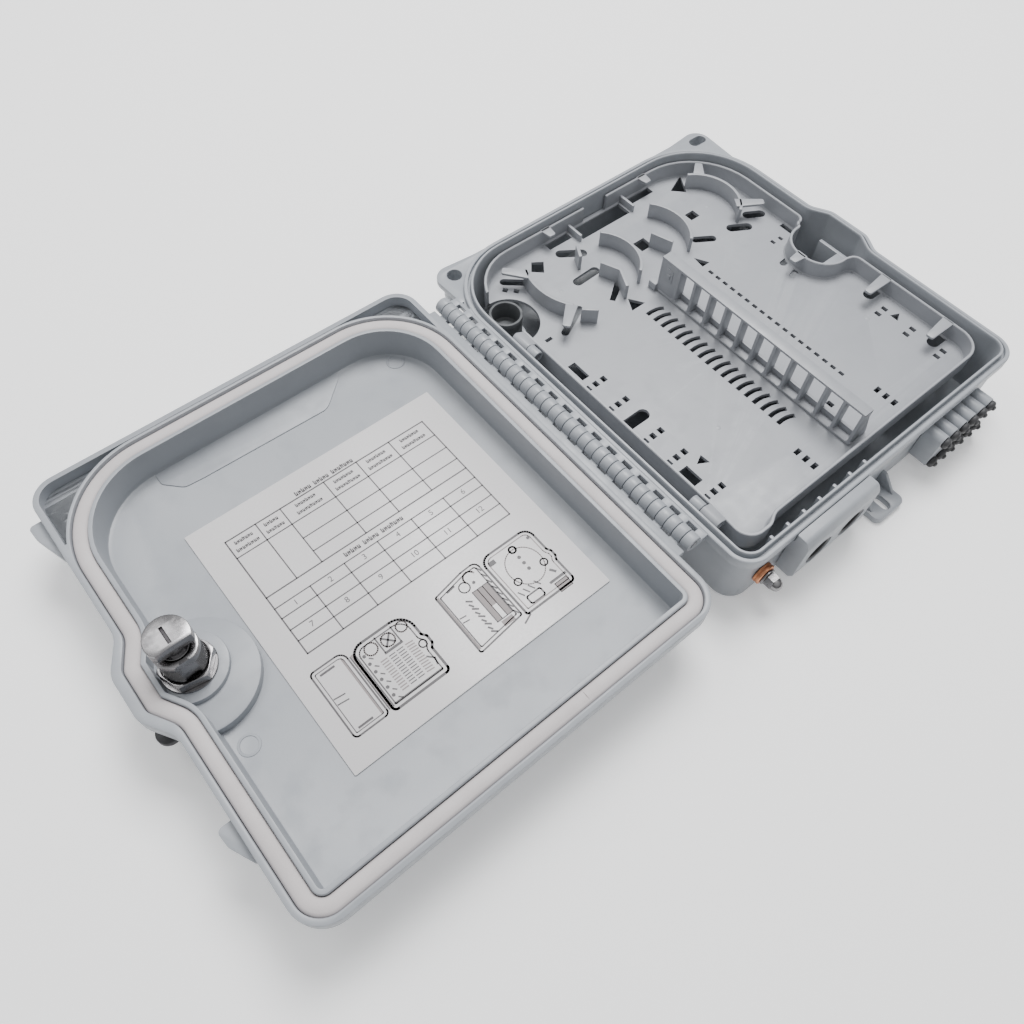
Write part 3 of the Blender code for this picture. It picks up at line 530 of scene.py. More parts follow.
def turned(name, profile, origin, along="Z", sides=48):
    """Revolves an (r, h) profile about an axis through the origin."""
    form = bmesh.new()
    angles = [2 * math.pi * i / sides for i in range(sides)]
    rings = [[form.verts.new((r * MM * math.cos(a), r * MM * math.sin(a), h * MM))
              for a in angles] for r, h in profile]
    for lower, upper in zip(rings, rings[1:]):
        bridge(form, lower, upper)
    place = Matrix.Translation([c * MM for c in origin])
    return solid(name, form, place @ TURN_Y if along == "-Y" else place)


def joined(name, solids):
    """Several solids as one object."""
    form = bmesh.new()
    for part in solids:
        form.from_mesh(part.data)
        bpy.data.objects.remove(part)
    mesh = bpy.data.meshes.new(name)
    form.to_mesh(mesh)
    form.free()
    return placed(name, mesh)


def boolean(target, tool, operation="DIFFERENCE"):
    """Applies one Boolean and removes its tool."""
    change = target.modifiers.new("change", "BOOLEAN")
    change.operation = operation
    change.object = tool
    mesh = evaluated(target)
    target.modifiers.clear()
    target.data = mesh
    smoothed(mesh)
    bpy.data.objects.remove(tool)
    return target


def finished(obj, finish):
    """Gives an object one finish."""
    obj.data.materials.clear()
    obj.data.materials.append(FINISHES[finish])
    return obj


def piece(obj, body, finish, *nodes, slot=None):
    """Gives an object its finish and the CAD body and nodes that it stands for."""
    finished(obj, finish)
    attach(obj, body)
    if nodes:
        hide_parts(*nodes)


def kept(node, finish, bevel):
    """A CAD node that stays, with its finish and softened edges."""
    soften = finished(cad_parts[node], finish).modifiers.new("soften", "BEVEL")
    soften.width = bevel * MM
    soften.segments = 2
    soften.limit_method = "ANGLE"
    soften.angle_limit = math.radians(35)


# ---------------------------------------------------------------- hinge

def cover_knuckle_ys():
    first = HINGE_MID_Y - (COVER_KNUCKLES - 1) / 2 * HINGE_PITCH
    return [first + i * HINGE_PITCH for i in range(COVER_KNUCKLES)]


def base_knuckle_ys():
    ys = cover_knuckle_ys()
    return [ys[0] - HINGE_PITCH / 2] + [y + HINGE_PITCH / 2 for y in ys]


def knuckles(name, ys, side):
    """A row of hinge barrels, each on an arm that runs to one side."""
    root_x = HINGE_X + side * 11.2
    barrel = arc(HINGE_X, HINGE_Z, KNUCKLE_R, 90 - side * 102, 90 + side * 180)
    outline = barrel + [(root_x, HINGE_Z - KNUCKLE_R), (root_x, HINGE_Z - 0.9)]
    half = (HINGE_PITCH / 2 - 0.3) / 2
    return joined(name, [
        prism_y("knuckle", [outline, circle(HINGE_X, HINGE_Z, 1.9)], y - half, y + half, 0.45)
        for y in ys])


def hinge_lip(name, near, far):
    """The ledge that fills most of the gap between one row's arms."""
    ys = base_knuckle_ys()
    return block(name, (near, ys[0] - 2, HINGE_Z - 4.2), (far, ys[-1] + 2, HINGE_Z - 0.9), 0.5)


# ---------------------------------------------------------------- base

PORT_XS = (-59.0, -34.5)
PORT_Z = 20.0
PORT_R = 8.6
OUTLET_XS = [37.0 + 7.8 * i for i in range(6)]
OUTLET_ZS = (9.0, 25.5)
STUD_X, STUD_Z = -88.0, 18.0
REAR_ENTRY = (-86.5, 76.5, 9.4)


def base_body():
    rim = [(WALL_INSET + 1.6, 0.0), (WALL_INSET + 0.5, 0.4), (WALL_INSET, 1.6),
           (WALL_INSET, RIM_FOOT_Z - 0.6), (WALL_INSET - 0.3, RIM_FOOT_Z - 0.1),
           (WALL_INSET - 0.8, RIM_FOOT_Z), (0.4, RIM_FOOT_Z), (0.1, RIM_FOOT_Z + 0.3),
           (0.0, RIM_FOOT_Z + 0.7), (0.0, RIM_Z - 0.8), (0.15, RIM_Z - 0.3), (0.6, RIM_Z),
           (2.0, RIM_Z), (2.3, RIM_Z - 0.3), (2.4, RIM_Z - 2.2), (3.5, RIM_Z - 2.2),
           (3.7, RIM_Z - 0.3), (3.9, TONGUE_Z - 0.35), (4.2, TONGUE_Z), (5.1, TONGUE_Z),
           (5.35, TONGUE_Z - 0.3), (5.5, TONGUE_Z - 1.2), (CAVITY_INSET, FLOOR + 2.4),
           (CAVITY_INSET + 0.6, FLOOR + 0.8), (CAVITY_INSET + 2.2, FLOOR)]
    shell = loft("base_body", BASE_CORNERS, rim)
    x, y, radius = REAR_ENTRY
    holes = [prism("rear_entry", [circle(x, y, radius + 0.3)], -2, 5),
             prism_y("stud_hole", [circle(STUD_X, STUD_Z, 2.4)], -125, -105)]
    for port_x in PORT_XS:
        holes.append(prism_y("port", [circle(port_x, PORT_Z, PORT_R)], -125, -105))
    middle = sum(OUTLET_ZS) / 2
    for outlet_x in OUTLET_XS:
        ends = ((outlet_x, middle - 10.7), (outlet_x, middle + 10.7))
        holes.append(prism_y("outlet", [slot_between(*ends, 5)], -125, -105))
    return boolean(shell, joined("base_holes", holes))


def base_ears():
    """The plate behind the rim whose two corners carry the wall screws, and the foot tab."""
    plate = prism("ears", [
        rounded([(BASE_LEFT + 3, 60, 2), (BASE_RIGHT - 3, 60, 2), (107.6, 121.3, 9),
                 (80, 118.4, 30), (-76, 118.4, 30), (-105.4, 121, 9)]),
        circle(-94.5, 111.8, 4.2), slot_between((92.6, 112.0), (104.6, 112.0), 6.6)],
        33.4, 37.0, 0.5)
    inside = prism("ears_inside", [rounded(inset(BASE_CORNERS, CAVITY_INSET - 0.8))], 30, 45)
    boolean(plate, inside)
    collars = [prism("collar", [circle(-94.5, 111.8, 6.0), circle(-94.5, 111.8, 4.3)],
                     22.0, 36.6, 0.3),
               prism("collar", [slot_between((91.1, 112.0), (106.1, 112.0), 9.6),
                                slot_between((92.6, 112.0), (104.6, 112.0), 6.7)],
                     24.0, 36.6, 0.3)]
    foot = prism("foot", [
        rounded([(-11, -114, 0), (-11, -133, 4), (11, -133, 4), (11, -114, 0)]),
        slot_between((0, -130.75), (0, -121.25), 5.2)], 0, 4, 0.5)
    gussets = [prism_x("gusset", [[(-115, 3.6), (-115, 13), (-118.2, 13), (-127, 3.6)]],
                       x - 0.9, x + 0.9, 0.25) for x in (-8.6, 8.6)]
    return joined("base_ears", [plate, *collars, foot, *gussets])


POSTS = ((-82, -88), (70, -92), (-46, 84), (86, 66))


def base_inside():
    """Posts under the tray, the cable comb and the tray's pivot brackets."""
    parts = []
    for x, y in POSTS:
        parts.append(turned("post", [(0, 2.3), (5.2, 2.3), (4.2, 3.4), (4, 5), (4, 23.2),
                                     (3.6, 23.7), (0, 23.7)], (x, y, 0)))
    for i in range(7):
        x = -80 + 11.4 * i
        parts.append(block("tooth", (x - 0.9, BASE_BOTTOM + 4.5, 14),
                           (x + 0.9, BASE_BOTTOM + 8.5, 33.5), 0.35))
    for low, high in PIVOT_LUGS:
        near, far = (low - 7, low - 0.3) if low > 0 else (high + 0.3, high + 7)
        hub = arc(PIVOT_X, PIVOT_Z, 3.2, -90, 180)
        outline = hub + [(PIVOT_X - 3.2, 30), (BASE_LEFT + 4, 26), (BASE_LEFT + 4, 20),
                         (PIVOT_X - 2, 20)]
        parts.append(prism_y("bracket", [outline, circle(PIVOT_X, PIVOT_Z, 1.8)],
                             near, far, 0.3))
    return joined("base_inside", parts)


def rear_entry_grommet():
    """A rubber cup round the rear cable hole, with a thick lip and a stepped floor."""
    profile = [(0, 19.4), (1.6, 19.4), (2.0, 20.2), (4.8, 20.2), (5.4, 19.6), (6.6, 19.6),
               (7.4, 20.4), (7.7, 29.8), (8.0, 30.7), (8.6, 31.0), (9.2, 30.7), (9.4, 29.9),
               (9.4, 28.4), (9.0, 27.8), (9.0, 24.0), (9.4, 23.4), (9.4, 0.4), (7.8, 0.4),
               (7.8, 18.0), (0, 18.2)]
    return turned("grommet_rear", profile, (*REAR_ENTRY[:2], 0), sides=64)


def rear_entry_socket():
    """The moulded ring on the base's floor that the rear grommet stands in."""
    profile = [(9.7, FLOOR - 0.3), (12.6, FLOOR - 0.3), (12.4, 13.4), (12.0, 14.0),
               (10.2, 14.0), (9.7, 13.5), (9.7, FLOOR - 0.3)]
    return turned("socket_rear", profile, (*REAR_ENTRY[:2], 0), sides=64)


def cable_entry_block():
    front = BASE_BOTTOM - 8.5
    outline = rounded([
        (WALL_FACE_Y, 6, 0), (WALL_FACE_Y, RIM_FOOT_Z - 0.3, 0),
        (BASE_BOTTOM - 0.3, RIM_FOOT_Z - 0.3, 0), (BASE_BOTTOM - 0.3, 38.2, 0),
        (front + 2.5, 38.2, 3), (front, 34, 3), (front, 9, 2.5), (front + 2, 6, 1)])
    body = prism_x("entry_block", [outline], -73, -20, 0.6)
    ports = joined("entry_ports", [
        prism_y("port", [circle(x, PORT_Z, PORT_R)], -140, -110) for x in PORT_XS])
    boolean(body, ports)
    collars = [turned("port_collar", [(PORT_R, 1.6), (PORT_R + 2.4, 1.6), (PORT_R + 2.4, 0.25),
                                      (PORT_R + 2.0, 0.0), (PORT_R, 0.0), (PORT_R, 1.6)],
                      (x, front + 1.55, PORT_Z), "-Y", 64) for x in PORT_XS]
    return joined("entry_block", [body, *collars])


def port_grommet(number, x):
    """A rubber membrane with a beaded lip and stepped rings round a small hole."""
    r = PORT_R - 0.3
    profile = [(r - 2, 0), (r, 0), (r, 12.6), (r - 0.5, 13.3), (r - 1.4, 13.4), (r - 2, 13.0),
               (r - 2, 8.2), (5.4, 8.0), (5.2, 8.5), (4.4, 8.5), (4.2, 8.0), (3.0, 8.0),
               (2.8, 8.5), (2.0, 8.5), (1.8, 8.0), (1.2, 8.0), (1.2, 6), (r - 2, 6), (r - 2, 0)]
    return turned(f"grommet_{number}", profile, (x, -112.4, PORT_Z), "-Y", 64)


def drop_outlet_block():
    """Two rows of six short tubes in one moulding, fluted along its top and bottom."""
    back, front = WALL_FACE_Y, BASE_BOTTOM - 9
    outline = []
    for x in OUTLET_XS:
        outline += arc(x, OUTLET_ZS[0], 3.7, 190, 350)
    for x in reversed(OUTLET_XS):
        outline += arc(x, OUTLET_ZS[1], 3.7, 10, 170)
    bores = [circle(x, z, 2.5) for x in OUTLET_XS for z in OUTLET_ZS]
    return prism_y("outlet_block", [outline, *bores], front, back, 0.35)


def drop_plug(name, x, z):
    """A rubber plug: a stem in the tube, a flange on its mouth and a round tip."""
    profile = [(0, 14.0), (0.7, 13.9), (1.3, 13.5), (1.5, 12.8), (2.3, 12.5), (2.9, 12.0),
               (3.15, 11.4), (3.2, 10.4), (3.0, 10.1), (2.1, 10.1), (2.0, 0), (0, 0)]
    return turned(name, profile, (x, BASE_BOTTOM + 0.8, z), "-Y", 32)


def ground_terminal():
    origin = (STUD_X, WALL_FACE_Y, STUD_Z)
    bushing = turned("terminal_bushing", [
        (2.3, 0), (5.5, 0), (5.8, 0.3), (5.8, 1.3), (5.4, 1.5), (5.4, 1.8), (5.8, 2.0),
        (5.8, 3.0), (5.4, 3.4), (2.3, 3.4), (2.3, 0)], origin, "-Y")
    washer = turned("terminal_washer", [
        (2.3, 3.7), (4.4, 3.7), (4.6, 3.9), (4.6, 4.5), (4.4, 4.7), (2.3, 4.7), (2.3, 3.7)],
        origin, "-Y")
    threads = []
    for i in range(18):
        h = -4.0 + i * 0.7
        threads += [(1.9, h), (1.9, h + 0.15), (1.65, h + 0.4), (1.65, h + 0.5)]
    stud = turned("terminal_stud", [(0, -6.8), (3.5, -6.8), (3.8, -6.4), (3.8, -4.3),
                                    (3.5, -4.0), *threads, (1.7, 9.4), (1.3, 9.6), (0, 9.6)],
                  origin, "-Y")
    return bushing, washer, stud


def hexagon(cx, cy, across_corners, start=0):
    return [(cx + across_corners / 2 * math.cos(math.radians(start + 60 * i)),
             cy + across_corners / 2 * math.sin(math.radians(start + 60 * i)))
            for i in range(6)]


def chamfered_hexagon(name, outline, cone, z0, z1, place, grow, along="Z"):
    """A hexagonal prism whose corners are turned down to a cone at each end."""
    body = (prism if along == "Z" else prism_y)(name, outline, z0, z1, 0.12)
    r, tall = cone, abs(z1 - z0)
    profile = [(0, 0), (r - grow, 0), (r + 0.4, grow * 0.55), (r + 0.4, tall - grow * 0.55),
               (r - grow, tall), (0, tall)]
    return boolean(body, turned("cone", profile, place, along, 64), "INTERSECT")


def ground_nut():
    near = WALL_FACE_Y - 5.0
    body = chamfered_hexagon("acorn_nut", [hexagon(STUD_X, STUD_Z, 8.6)], 4.3, near - 4,
                             near, (STUD_X, near, STUD_Z), 0.6, "-Y")
    dome = turned("dome", [(0, 3.0), (3.4, 3.0), (3.4, 3.8), (3.3, 5.0), (2.9, 6.1),
                           (2.2, 7.0), (1.2, 7.5), (0, 7.6)], (STUD_X, near, STUD_Z), "-Y")
    return joined("acorn_nut", [body, dome])


def lock_catch():
    return joined("catch_plate", [
        block("catch", (100.2, -10.2, 2.8), (102.6, 10, 27.2), 0.4),
        block("shelf", (84.4, -9.8, 24.8), (101.0, -3.6, 27.0), 0.5)])


# ---------------------------------------------------------------- splice tray

REAR_OPENING = (-86.0, 74.0, 17.2)
COMB_SLOTS = 18
COMB_PITCH = 5.66
GUIDES = (  # centre x, centre y, radius, first and last angle
    (-28.5, 76.0, 35.0, 152, 217),
    (-22.5, 71.5, 24.0, -56, 46),
    (15.0, 71.5, 26.0, -48, 42),
    (60.0, 72.0, 24.5, -56, 62),
)
FINGERS = (  # root x, root y, direction in degrees, length
    (78.5, 91.0, 45, 8.5), (77.0, 57.0, -34, 16), (96.5, -38, 182, 17), (96.5, -80, 182, 17),
    (-61.5, 89.0, 132, 14), (-58.4, 54.9, 218, 14.8), (73.0, 4.0, 180, 8),
    (-29.5, 109.8, 270, 6.5), (47.5, 109.8, 270, 6.5),
)
BAFFLES = (
    [(-22.3, 70.2), (-17.5, 59.0), (-23.4, 47.3)],
    [(17.5, 70.0), (22.0, 57.0)],
    [(-55.0, 50.0), (-48.0, 44.0)],
    [(-24.0, 88.5), (-28.5, 80.5)],
)


def tray_holes():
    """Every opening through the tray's floor but the round one at the rear."""
    loops = []
    for i in range(COMB_SLOTS):
        y = 30.9 - COMB_PITCH * i
        bow = [(-22.0, y), (-18.5, y + 0.1), (-15.0, y - 0.35), (-12.4, y - 1.3),
               (-11.0, y - 2.2)]
        loops.append(strip_along(bow, 2.6))
        loops.append(rectangle(29.5, y - 0.5, 31.6, y + 2.7))
    for y in (12.0, -5.2, -31.0, -47.8, -73.6):
        loops += [rectangle(x - 1.5, y - 1.8, x + 1.5, y + 1.8) for x in (-83.5, -78, -72.5)]
    for x in (-27.5, 37.0):
        loops += [rectangle(x - 2.2, y - 1.3, x + 2.2, y + 1.3) for y in (-83.5, -89, -94.5)]
    for y in (-49.0, -68.5, -89.0):
        loops += [rectangle(x - 1.3, y - 1.9, x + 1.3, y + 1.9) for x in (81.5, 87.5)]
    loops += [
        turned_rectangle(-72.5, 94, 3, 3, 35), turned_rectangle(-68, 89.5, 3, 3, 35),
        rectangle(77.4, 25.2, 79.6, 28.4), rectangle(83.4, 24.6, 85.6, 27.6),
        rectangle(-79.5, 49.6, -75.1, 51.8), rectangle(8, -76, 11, -72),
        slot_between((-71.0, 101.0), (-58.5, 90.5), 5),
        [(-51.5, 96), (-46.5, 102), (-40.5, 98), (-46, 91)],
        slot_between((-31.0, 98.5), (-15.5, 88.0), 6),
        slot_between((-38.5, 73.5), (-19.0, 74.5), 6),
        [(-31, 52), (-29, 49.5), (-18, 56), (-19, 60.5)],
        slot_between((-69.0, 48.0), (-47.0, 58.5), 4.4),
        [(-26.5, 38.2), (-16.5, 38.2), (-22, 46.5)],
        [(30, 38.2), (36, 38.2), (31.2, 46.5)],
        rectangle(-82, 18, -77, 30), rectangle(-83.5, -65.5, -77.5, -54.5),
        [(-83.5, -21.5), (-72.5, -21.5), *arc(-72.5, -18, 3.5, -80, 80), (-72.5, -14.5),
         (-83.5, -14.5)],
        [(-73, -57), (-67.0, -60.3), (-67.5, -54.3)],
        [(62.5, 97), (69.5, 90), (77.5, 103.5)],
        rectangle(53.5, 70, 60.5, 76), rectangle(11, 69, 19.5, 77),
        *[slot_between((x0, y0), (x1, y1), width) for x0, y0, x1, y1, width in (
            (41.0, 58.0, 54.0, 50.0, 5), (65.0, 52.0, 79.0, 44.0, 6), (81.5, 54.0, 94.0, 47.0, 6),
            (67.5, 11.0, 76.5, 11.5, 4.0), (64.5, 0.5, 72.0, 2.5, 3.6),
            (86.0, -36.5, 99.5, -36.5, 7), (85.0, -81.5, 99.5, -81.5, 7))],
        [(86, -54), (86, -59.5), (91.5, -56.5)],
        rectangle(-31, 103, -14, 108.6), rectangle(-9.6, 98, 28.5, 108.6),
        rectangle(33.6, 103, 53.2, 108.6), rectangle(92.5, 24, 96.4, 34),
    ]
    return loops


def splice_tray():
    outline = rounded(TRAY_CORNERS)
    floor = prism("tray", [outline], TRAY_Z, TRAY_TOP_Z, 0.3)
    boolean(floor, joined("tray_holes", [
        prism("hole", [loop], TRAY_Z - 1, TRAY_TOP_Z + 1)
        for loop in tray_holes() + [circle(*REAR_OPENING)]]))
    rim = loft("rim", TRAY_CORNERS, [
        (0.0, TRAY_Z + 0.8), (0.0, TRAY_RIM_Z - 0.4), (0.35, TRAY_RIM_Z), (1.3, TRAY_RIM_Z),
        (1.6, TRAY_RIM_Z - 0.4), (1.8, TRAY_TOP_Z + 0.8), (2.4, TRAY_TOP_Z + 0.05),
        (2.6, TRAY_TOP_Z - 0.4), (1.4, TRAY_Z + 0.8)], closed=True, steps=10)
    boolean(rim, block("rim_gap", (0, 100, TRAY_TOP_Z + 0.2), (18, 115, 45), 0))
    boolean(rim, prism("rim_opening", [circle(*REAR_OPENING)], TRAY_Z - 1, 45))
    parts = [floor, rim]
    for cx, cy, radius, start, end in GUIDES:
        band = arc(cx, cy, radius + 0.9, start, end) + arc(cx, cy, radius - 0.9, end, start)
        parts.append(prism("guide", [band], TRAY_Z + 0.5, TRAY_RIM_Z, 0.35))
    for x, y, degrees, length in FINGERS:
        tongue = rounded([(-1.5, -3.4, 0), (length, -2.2, 1.2), (length, 2.2, 1.2),
                          (-1.5, 3.4, 0)])
        parts.append(prism("finger", [moved(tongue, x, y, degrees)], TRAY_RIM_Z - 1.6,
                           TRAY_RIM_Z, 0.35))
    for x in (-12.0, 30.6):
        parts.append(block("bridge", (x - 0.8, 97.5, TRAY_TOP_Z - 0.4),
                           (x + 0.8, 109.3, 30.5), 0.25))
    for line in BAFFLES:
        parts.append(prism("baffle", [strip_along(line, 1.8)], TRAY_TOP_Z - 0.5,
                           TRAY_RIM_Z, 0.3))
    for low, high in PIVOT_LUGS:
        hub = arc(PIVOT_X, PIVOT_Z, 3.2, 90, 270)
        lug = hub + [(TRAY_LEFT + 1, PIVOT_Z - 3.2), (TRAY_LEFT + 1, TRAY_RIM_Z - 0.6),
                     (PIVOT_X + 2.4, PIVOT_Z + 2.1)]
        parts.append(prism_y("lug", [lug, circle(PIVOT_X, PIVOT_Z, 1.8)], low, high, 0.3))
    for x, y in ((-48, 74), (70, 73), (-48, -48), (74, -47.5), (3, -53.5)):
        parts.append(turned("ejector_mark", [(0, 25.5), (1.3, 25.5), (1.3, 26.06), (1.2, 26.1),
                                             (0, 26.1)], (x, y, 0), sides=24))
    return joined("tray", parts)


STRIP_FRONT, STRIP_BACK = -4.8, 1.8
STRIP_TOP_Z = 50.6
STRIP_LOW_Y, STRIP_HIGH_Y = -97.0, 42.0
WINDOWS = 11
WINDOW_PITCH = 11.32
FIRST_POST_Y = -96.1


def adapter_strip():
    """The upright wall whose deep fins hold the adapters between them."""
    foot = TRAY_TOP_Z + 0.3
    front, back, top = STRIP_FRONT, STRIP_BACK, STRIP_TOP_Z
    low, high = STRIP_LOW_Y, STRIP_HIGH_Y
    last = FIRST_POST_Y + WINDOWS * WINDOW_PITCH
    parts = [
        block("strip_foot", (front, low, foot), (back, high, foot + 1.4)),
        block("strip_rail", (front, low, top - 1.4), (back, high, top)),
        block("strip_sill", (back - 1.6, low, foot + 0.2), (back, high, foot + 5.0)),
        block("panel_front", (front + 0.2, last, foot), (front + 1.8, high, top - 0.2)),
        block("panel_back", (back - 1.6, last, foot), (back - 0.1, high, top - 0.2)),
        block("panel_end", (front + 0.1, high - 1.6, foot), (back - 0.1, high - 0.1, top - 0.1)),
        block("panel_frame", (front - 0.2, last + 4.0, foot + 11),
              (front + 0.4, last + 9.0, top - 5)),
        block("panel_stud", (front - 0.7, last + 5.4, foot + 13), (front, last + 7.6, top - 8)),
        block("clip", (front - 1.6, high - 0.5, foot), (front + 4.0, high + 4.6, foot + 4.6)),
        prism_y("gusset", [[(back - 0.5, foot), (9.4, foot), (9.4, foot + 1.5),
                            (back - 0.5, top - 4)]], low + 0.1, low + 1.6, 0.25),
    ]
    for i in range(WINDOWS + 1):
        y = FIRST_POST_Y + i * WINDOW_PITCH
        parts.append(block("fin", (front + 0.05, y - 0.9, foot + 0.1),
                           (back - 0.05, y + 0.9, top - 0.1), 0.25))
        parts.append(block("fin_foot", (front, y - 1.5, foot + 1.2),
                           (front + 1.4, y + 1.5, foot + 2.4), 0.25))
    return joined("adapter_rail", parts)


# ---------------------------------------------------------------- cover

def cover_body():
    outer, inner = SEAL_CHANNEL
    pan = loft("cover_body", SEAL_CORNERS, [
        (12.4, COVER_BACK_Z), (10.7, COVER_BACK_Z + 0.3), (10.1, COVER_BACK_Z + 1.5),
        (10.0, FLANGE_Z - 0.5), (9.5, FLANGE_Z), (outer, FLANGE_Z), (outer, 34.5),
        (inner, 34.5), (inner, 39.5), (10.6, 39.95), (11.0, COVER_RIM_Z),
        (12.0, COVER_RIM_Z), (12.35, 39.9), (COVER_CAVITY, 39.4), (12.7, 24.6),
        (13.3, 23.0), (14.8, COVER_FLOOR_Z)])
    lower = prism("flange_lower", [rounded(COVER_CORNERS), rounded(inset(SEAL_CORNERS, 3.4))],
                  FLANGE_Z, 33.8, 0.5)
    upper = prism("flange_upper", [rounded(COVER_CORNERS), rounded(inset(SEAL_CORNERS, 2.8))],
                  33.0, COVER_RIM_Z, 0.6)
    pocket = prism("pocket", [rounded(inset(COVER_CORNERS, 3.0))], 33.8, 45)
    boolean(pocket, prism("pocket_keep", [rounded(inset(SEAL_CORNERS, 1.3))], 30, 50))
    boolean(pocket, block("pocket_lower", (-400, -200, 20), (0, 82, 60), 0))
    boolean(upper, pocket)
    inside = inset(SEAL_CORNERS, 11.2)
    platform = prism("platform", [circle(LOCK_X, LOCK_Y - 4, 27)], 21.4, 27.6, 0.5)
    boolean(platform, prism("inside", [rounded(inside)], 10, 50), "INTERSECT")
    boss = prism("boss", [circle(LOCK_X, LOCK_Y, 16.6)], 21.4, 30.4, 0.5)
    boolean(boss, prism("inside", [rounded(inside)], 10, 50), "INTERSECT")
    whole = joined("cover_body", [pan, platform, boss])
    boolean(whole, prism("lock_hole", [circle(LOCK_X, LOCK_Y, HOUSING_R + 0.3)], 10, 50))
    fins = []
    for tip, root in ((104, 78), (-64, -84)):
        fins.append(prism("fin", [rounded([
            (COVER_FAR + 2, tip, 0), (COVER_FAR - 6.5, tip, 2.2), (COVER_FAR - 6.0, tip - 8, 4),
            (COVER_FAR - 0.6, root, 2), (COVER_FAR + 2, root, 0)])], 32.5, 35.5, 0.4))
    marks = [turned("ejector_mark", [(3.7, 22.3), (3.9, 22.7), (4.9, 22.7), (5.1, 22.3),
                                     (3.7, 22.3)], (x, y, 0), sides=48)
             for x, y in ((-316.5, -38.6), (-150, 92))]
    panel = prism("floor_panel", [rounded([
        (-284, 106, 0), (-284, 98, 3), (-276, 89.6, 5), (-266, 88.8, 4), (-196, 87.3, 9),
        (-180, 101, 5), (-179, 106, 0)])], 22.0, 23.0, 0.3)
    return joined("cover_body", [whole, lower, upper, *fins, *marks, panel])


def seal():
    """A D-section bead poured into the channel, with the seam where its ends meet."""
    bead = loft("seal", SEAL_CORNERS, [
        (GASKET_OUT, 34.8), (GASKET_OUT, 37.6), (3.6, 38.5), (4.6, 39.1), (6.6, 39.35),
        (8.6, 39.1), (9.6, 38.5), (GASKET_IN, 37.6), (GASKET_IN, 34.8)], closed=True, steps=20)
    seam = block("seam", (-200.4, -118, 38.9), (-199.7, -108, 41), 0)
    return boolean(bead, seam)


# ---------------------------------------------------------------- label

LABEL_Z = 23.1
INK_TOP = 0.07          # how far the ink stands above the paper
DIGIT_SIZE = 4.2
LABEL_BOX = (-290, -76.5, -149.5, 64.5)
TABLE_LEFT, TABLE_RIGHT = -276.5, -163.0
TITLE_X = -220.5
UPPER_BOTTOM, UPPER_TOP = 14.0, 50.5
LOWER_BOTTOM, LOWER_TOP = -20.0, 7.0


class Print:
    """Printed marks as one thin raised mesh."""

    def __init__(self):
        self.form = bmesh.new()

    def patch(self, points):
        """A filled convex outline."""
        if area(points) < 0:
            points = points[::-1]
        low, high = [[self.form.verts.new((x * MM, y * MM, z * MM)) for x, y in points]
                     for z in (LABEL_Z, LABEL_Z + INK_TOP)]
        self.form.faces.new(high)
        self.form.faces.new(low[::-1])
        bridge(self.form, low, high)

    def line(self, points, width=0.6, closed=False):
        ends = points[1:] + points[:1] if closed else points[1:]
        for start, end in zip(points, ends):
            run = Vector(end) - Vector(start)
            middle = (Vector(start) + Vector(end)) / 2
            self.patch(turned_rectangle(*middle, run.length + width * 0.8, width,
                                        math.degrees(math.atan2(run.y, run.x))))

    def dash(self, x0, y0, x1, y1, width=0.6):
        self.line([(x0, y0), (x1, y1)], width)

    def words(self, x, y, lengths, height):
        """Rows of small blocks where a line of lettering would be, centred on x."""
        gap = height * 0.45
        left = x - (sum(lengths) + gap * (len(lengths) - 1)) / 2
        for length in lengths:
            count = max(2, round(length / (height * 0.52)))
            step = length / count
            for i in range(count):
                tall = height * (0.42 if i in (0, count // 2) else 0.28)
                start = left + i * step
                self.patch(rectangle(start, y - height * 0.32, start + step * 0.34, y + tall))
                self.patch(rectangle(start + step * 0.34, y - height * 0.32 + (i % 2) * tall,
                                     start + step * 0.8, y - height * 0.1 + (i % 2) * tall))
                self.patch(rectangle(start + step * 0.5, y - height * 0.26, start + step * 0.8,
                                     y + height * 0.24))
            left += length + gap

    def digits(self, x, y, number):
        curve = bpy.data.curves.new("digit", "FONT")
        curve.body = str(number)
        curve.size = DIGIT_SIZE * MM
        curve.align_x = "CENTER"
        curve.align_y = "CENTER"
        curve.extrude = INK_TOP / 2 * MM
        add_curve(self.form, curve, x, y, LABEL_Z + INK_TOP / 2)


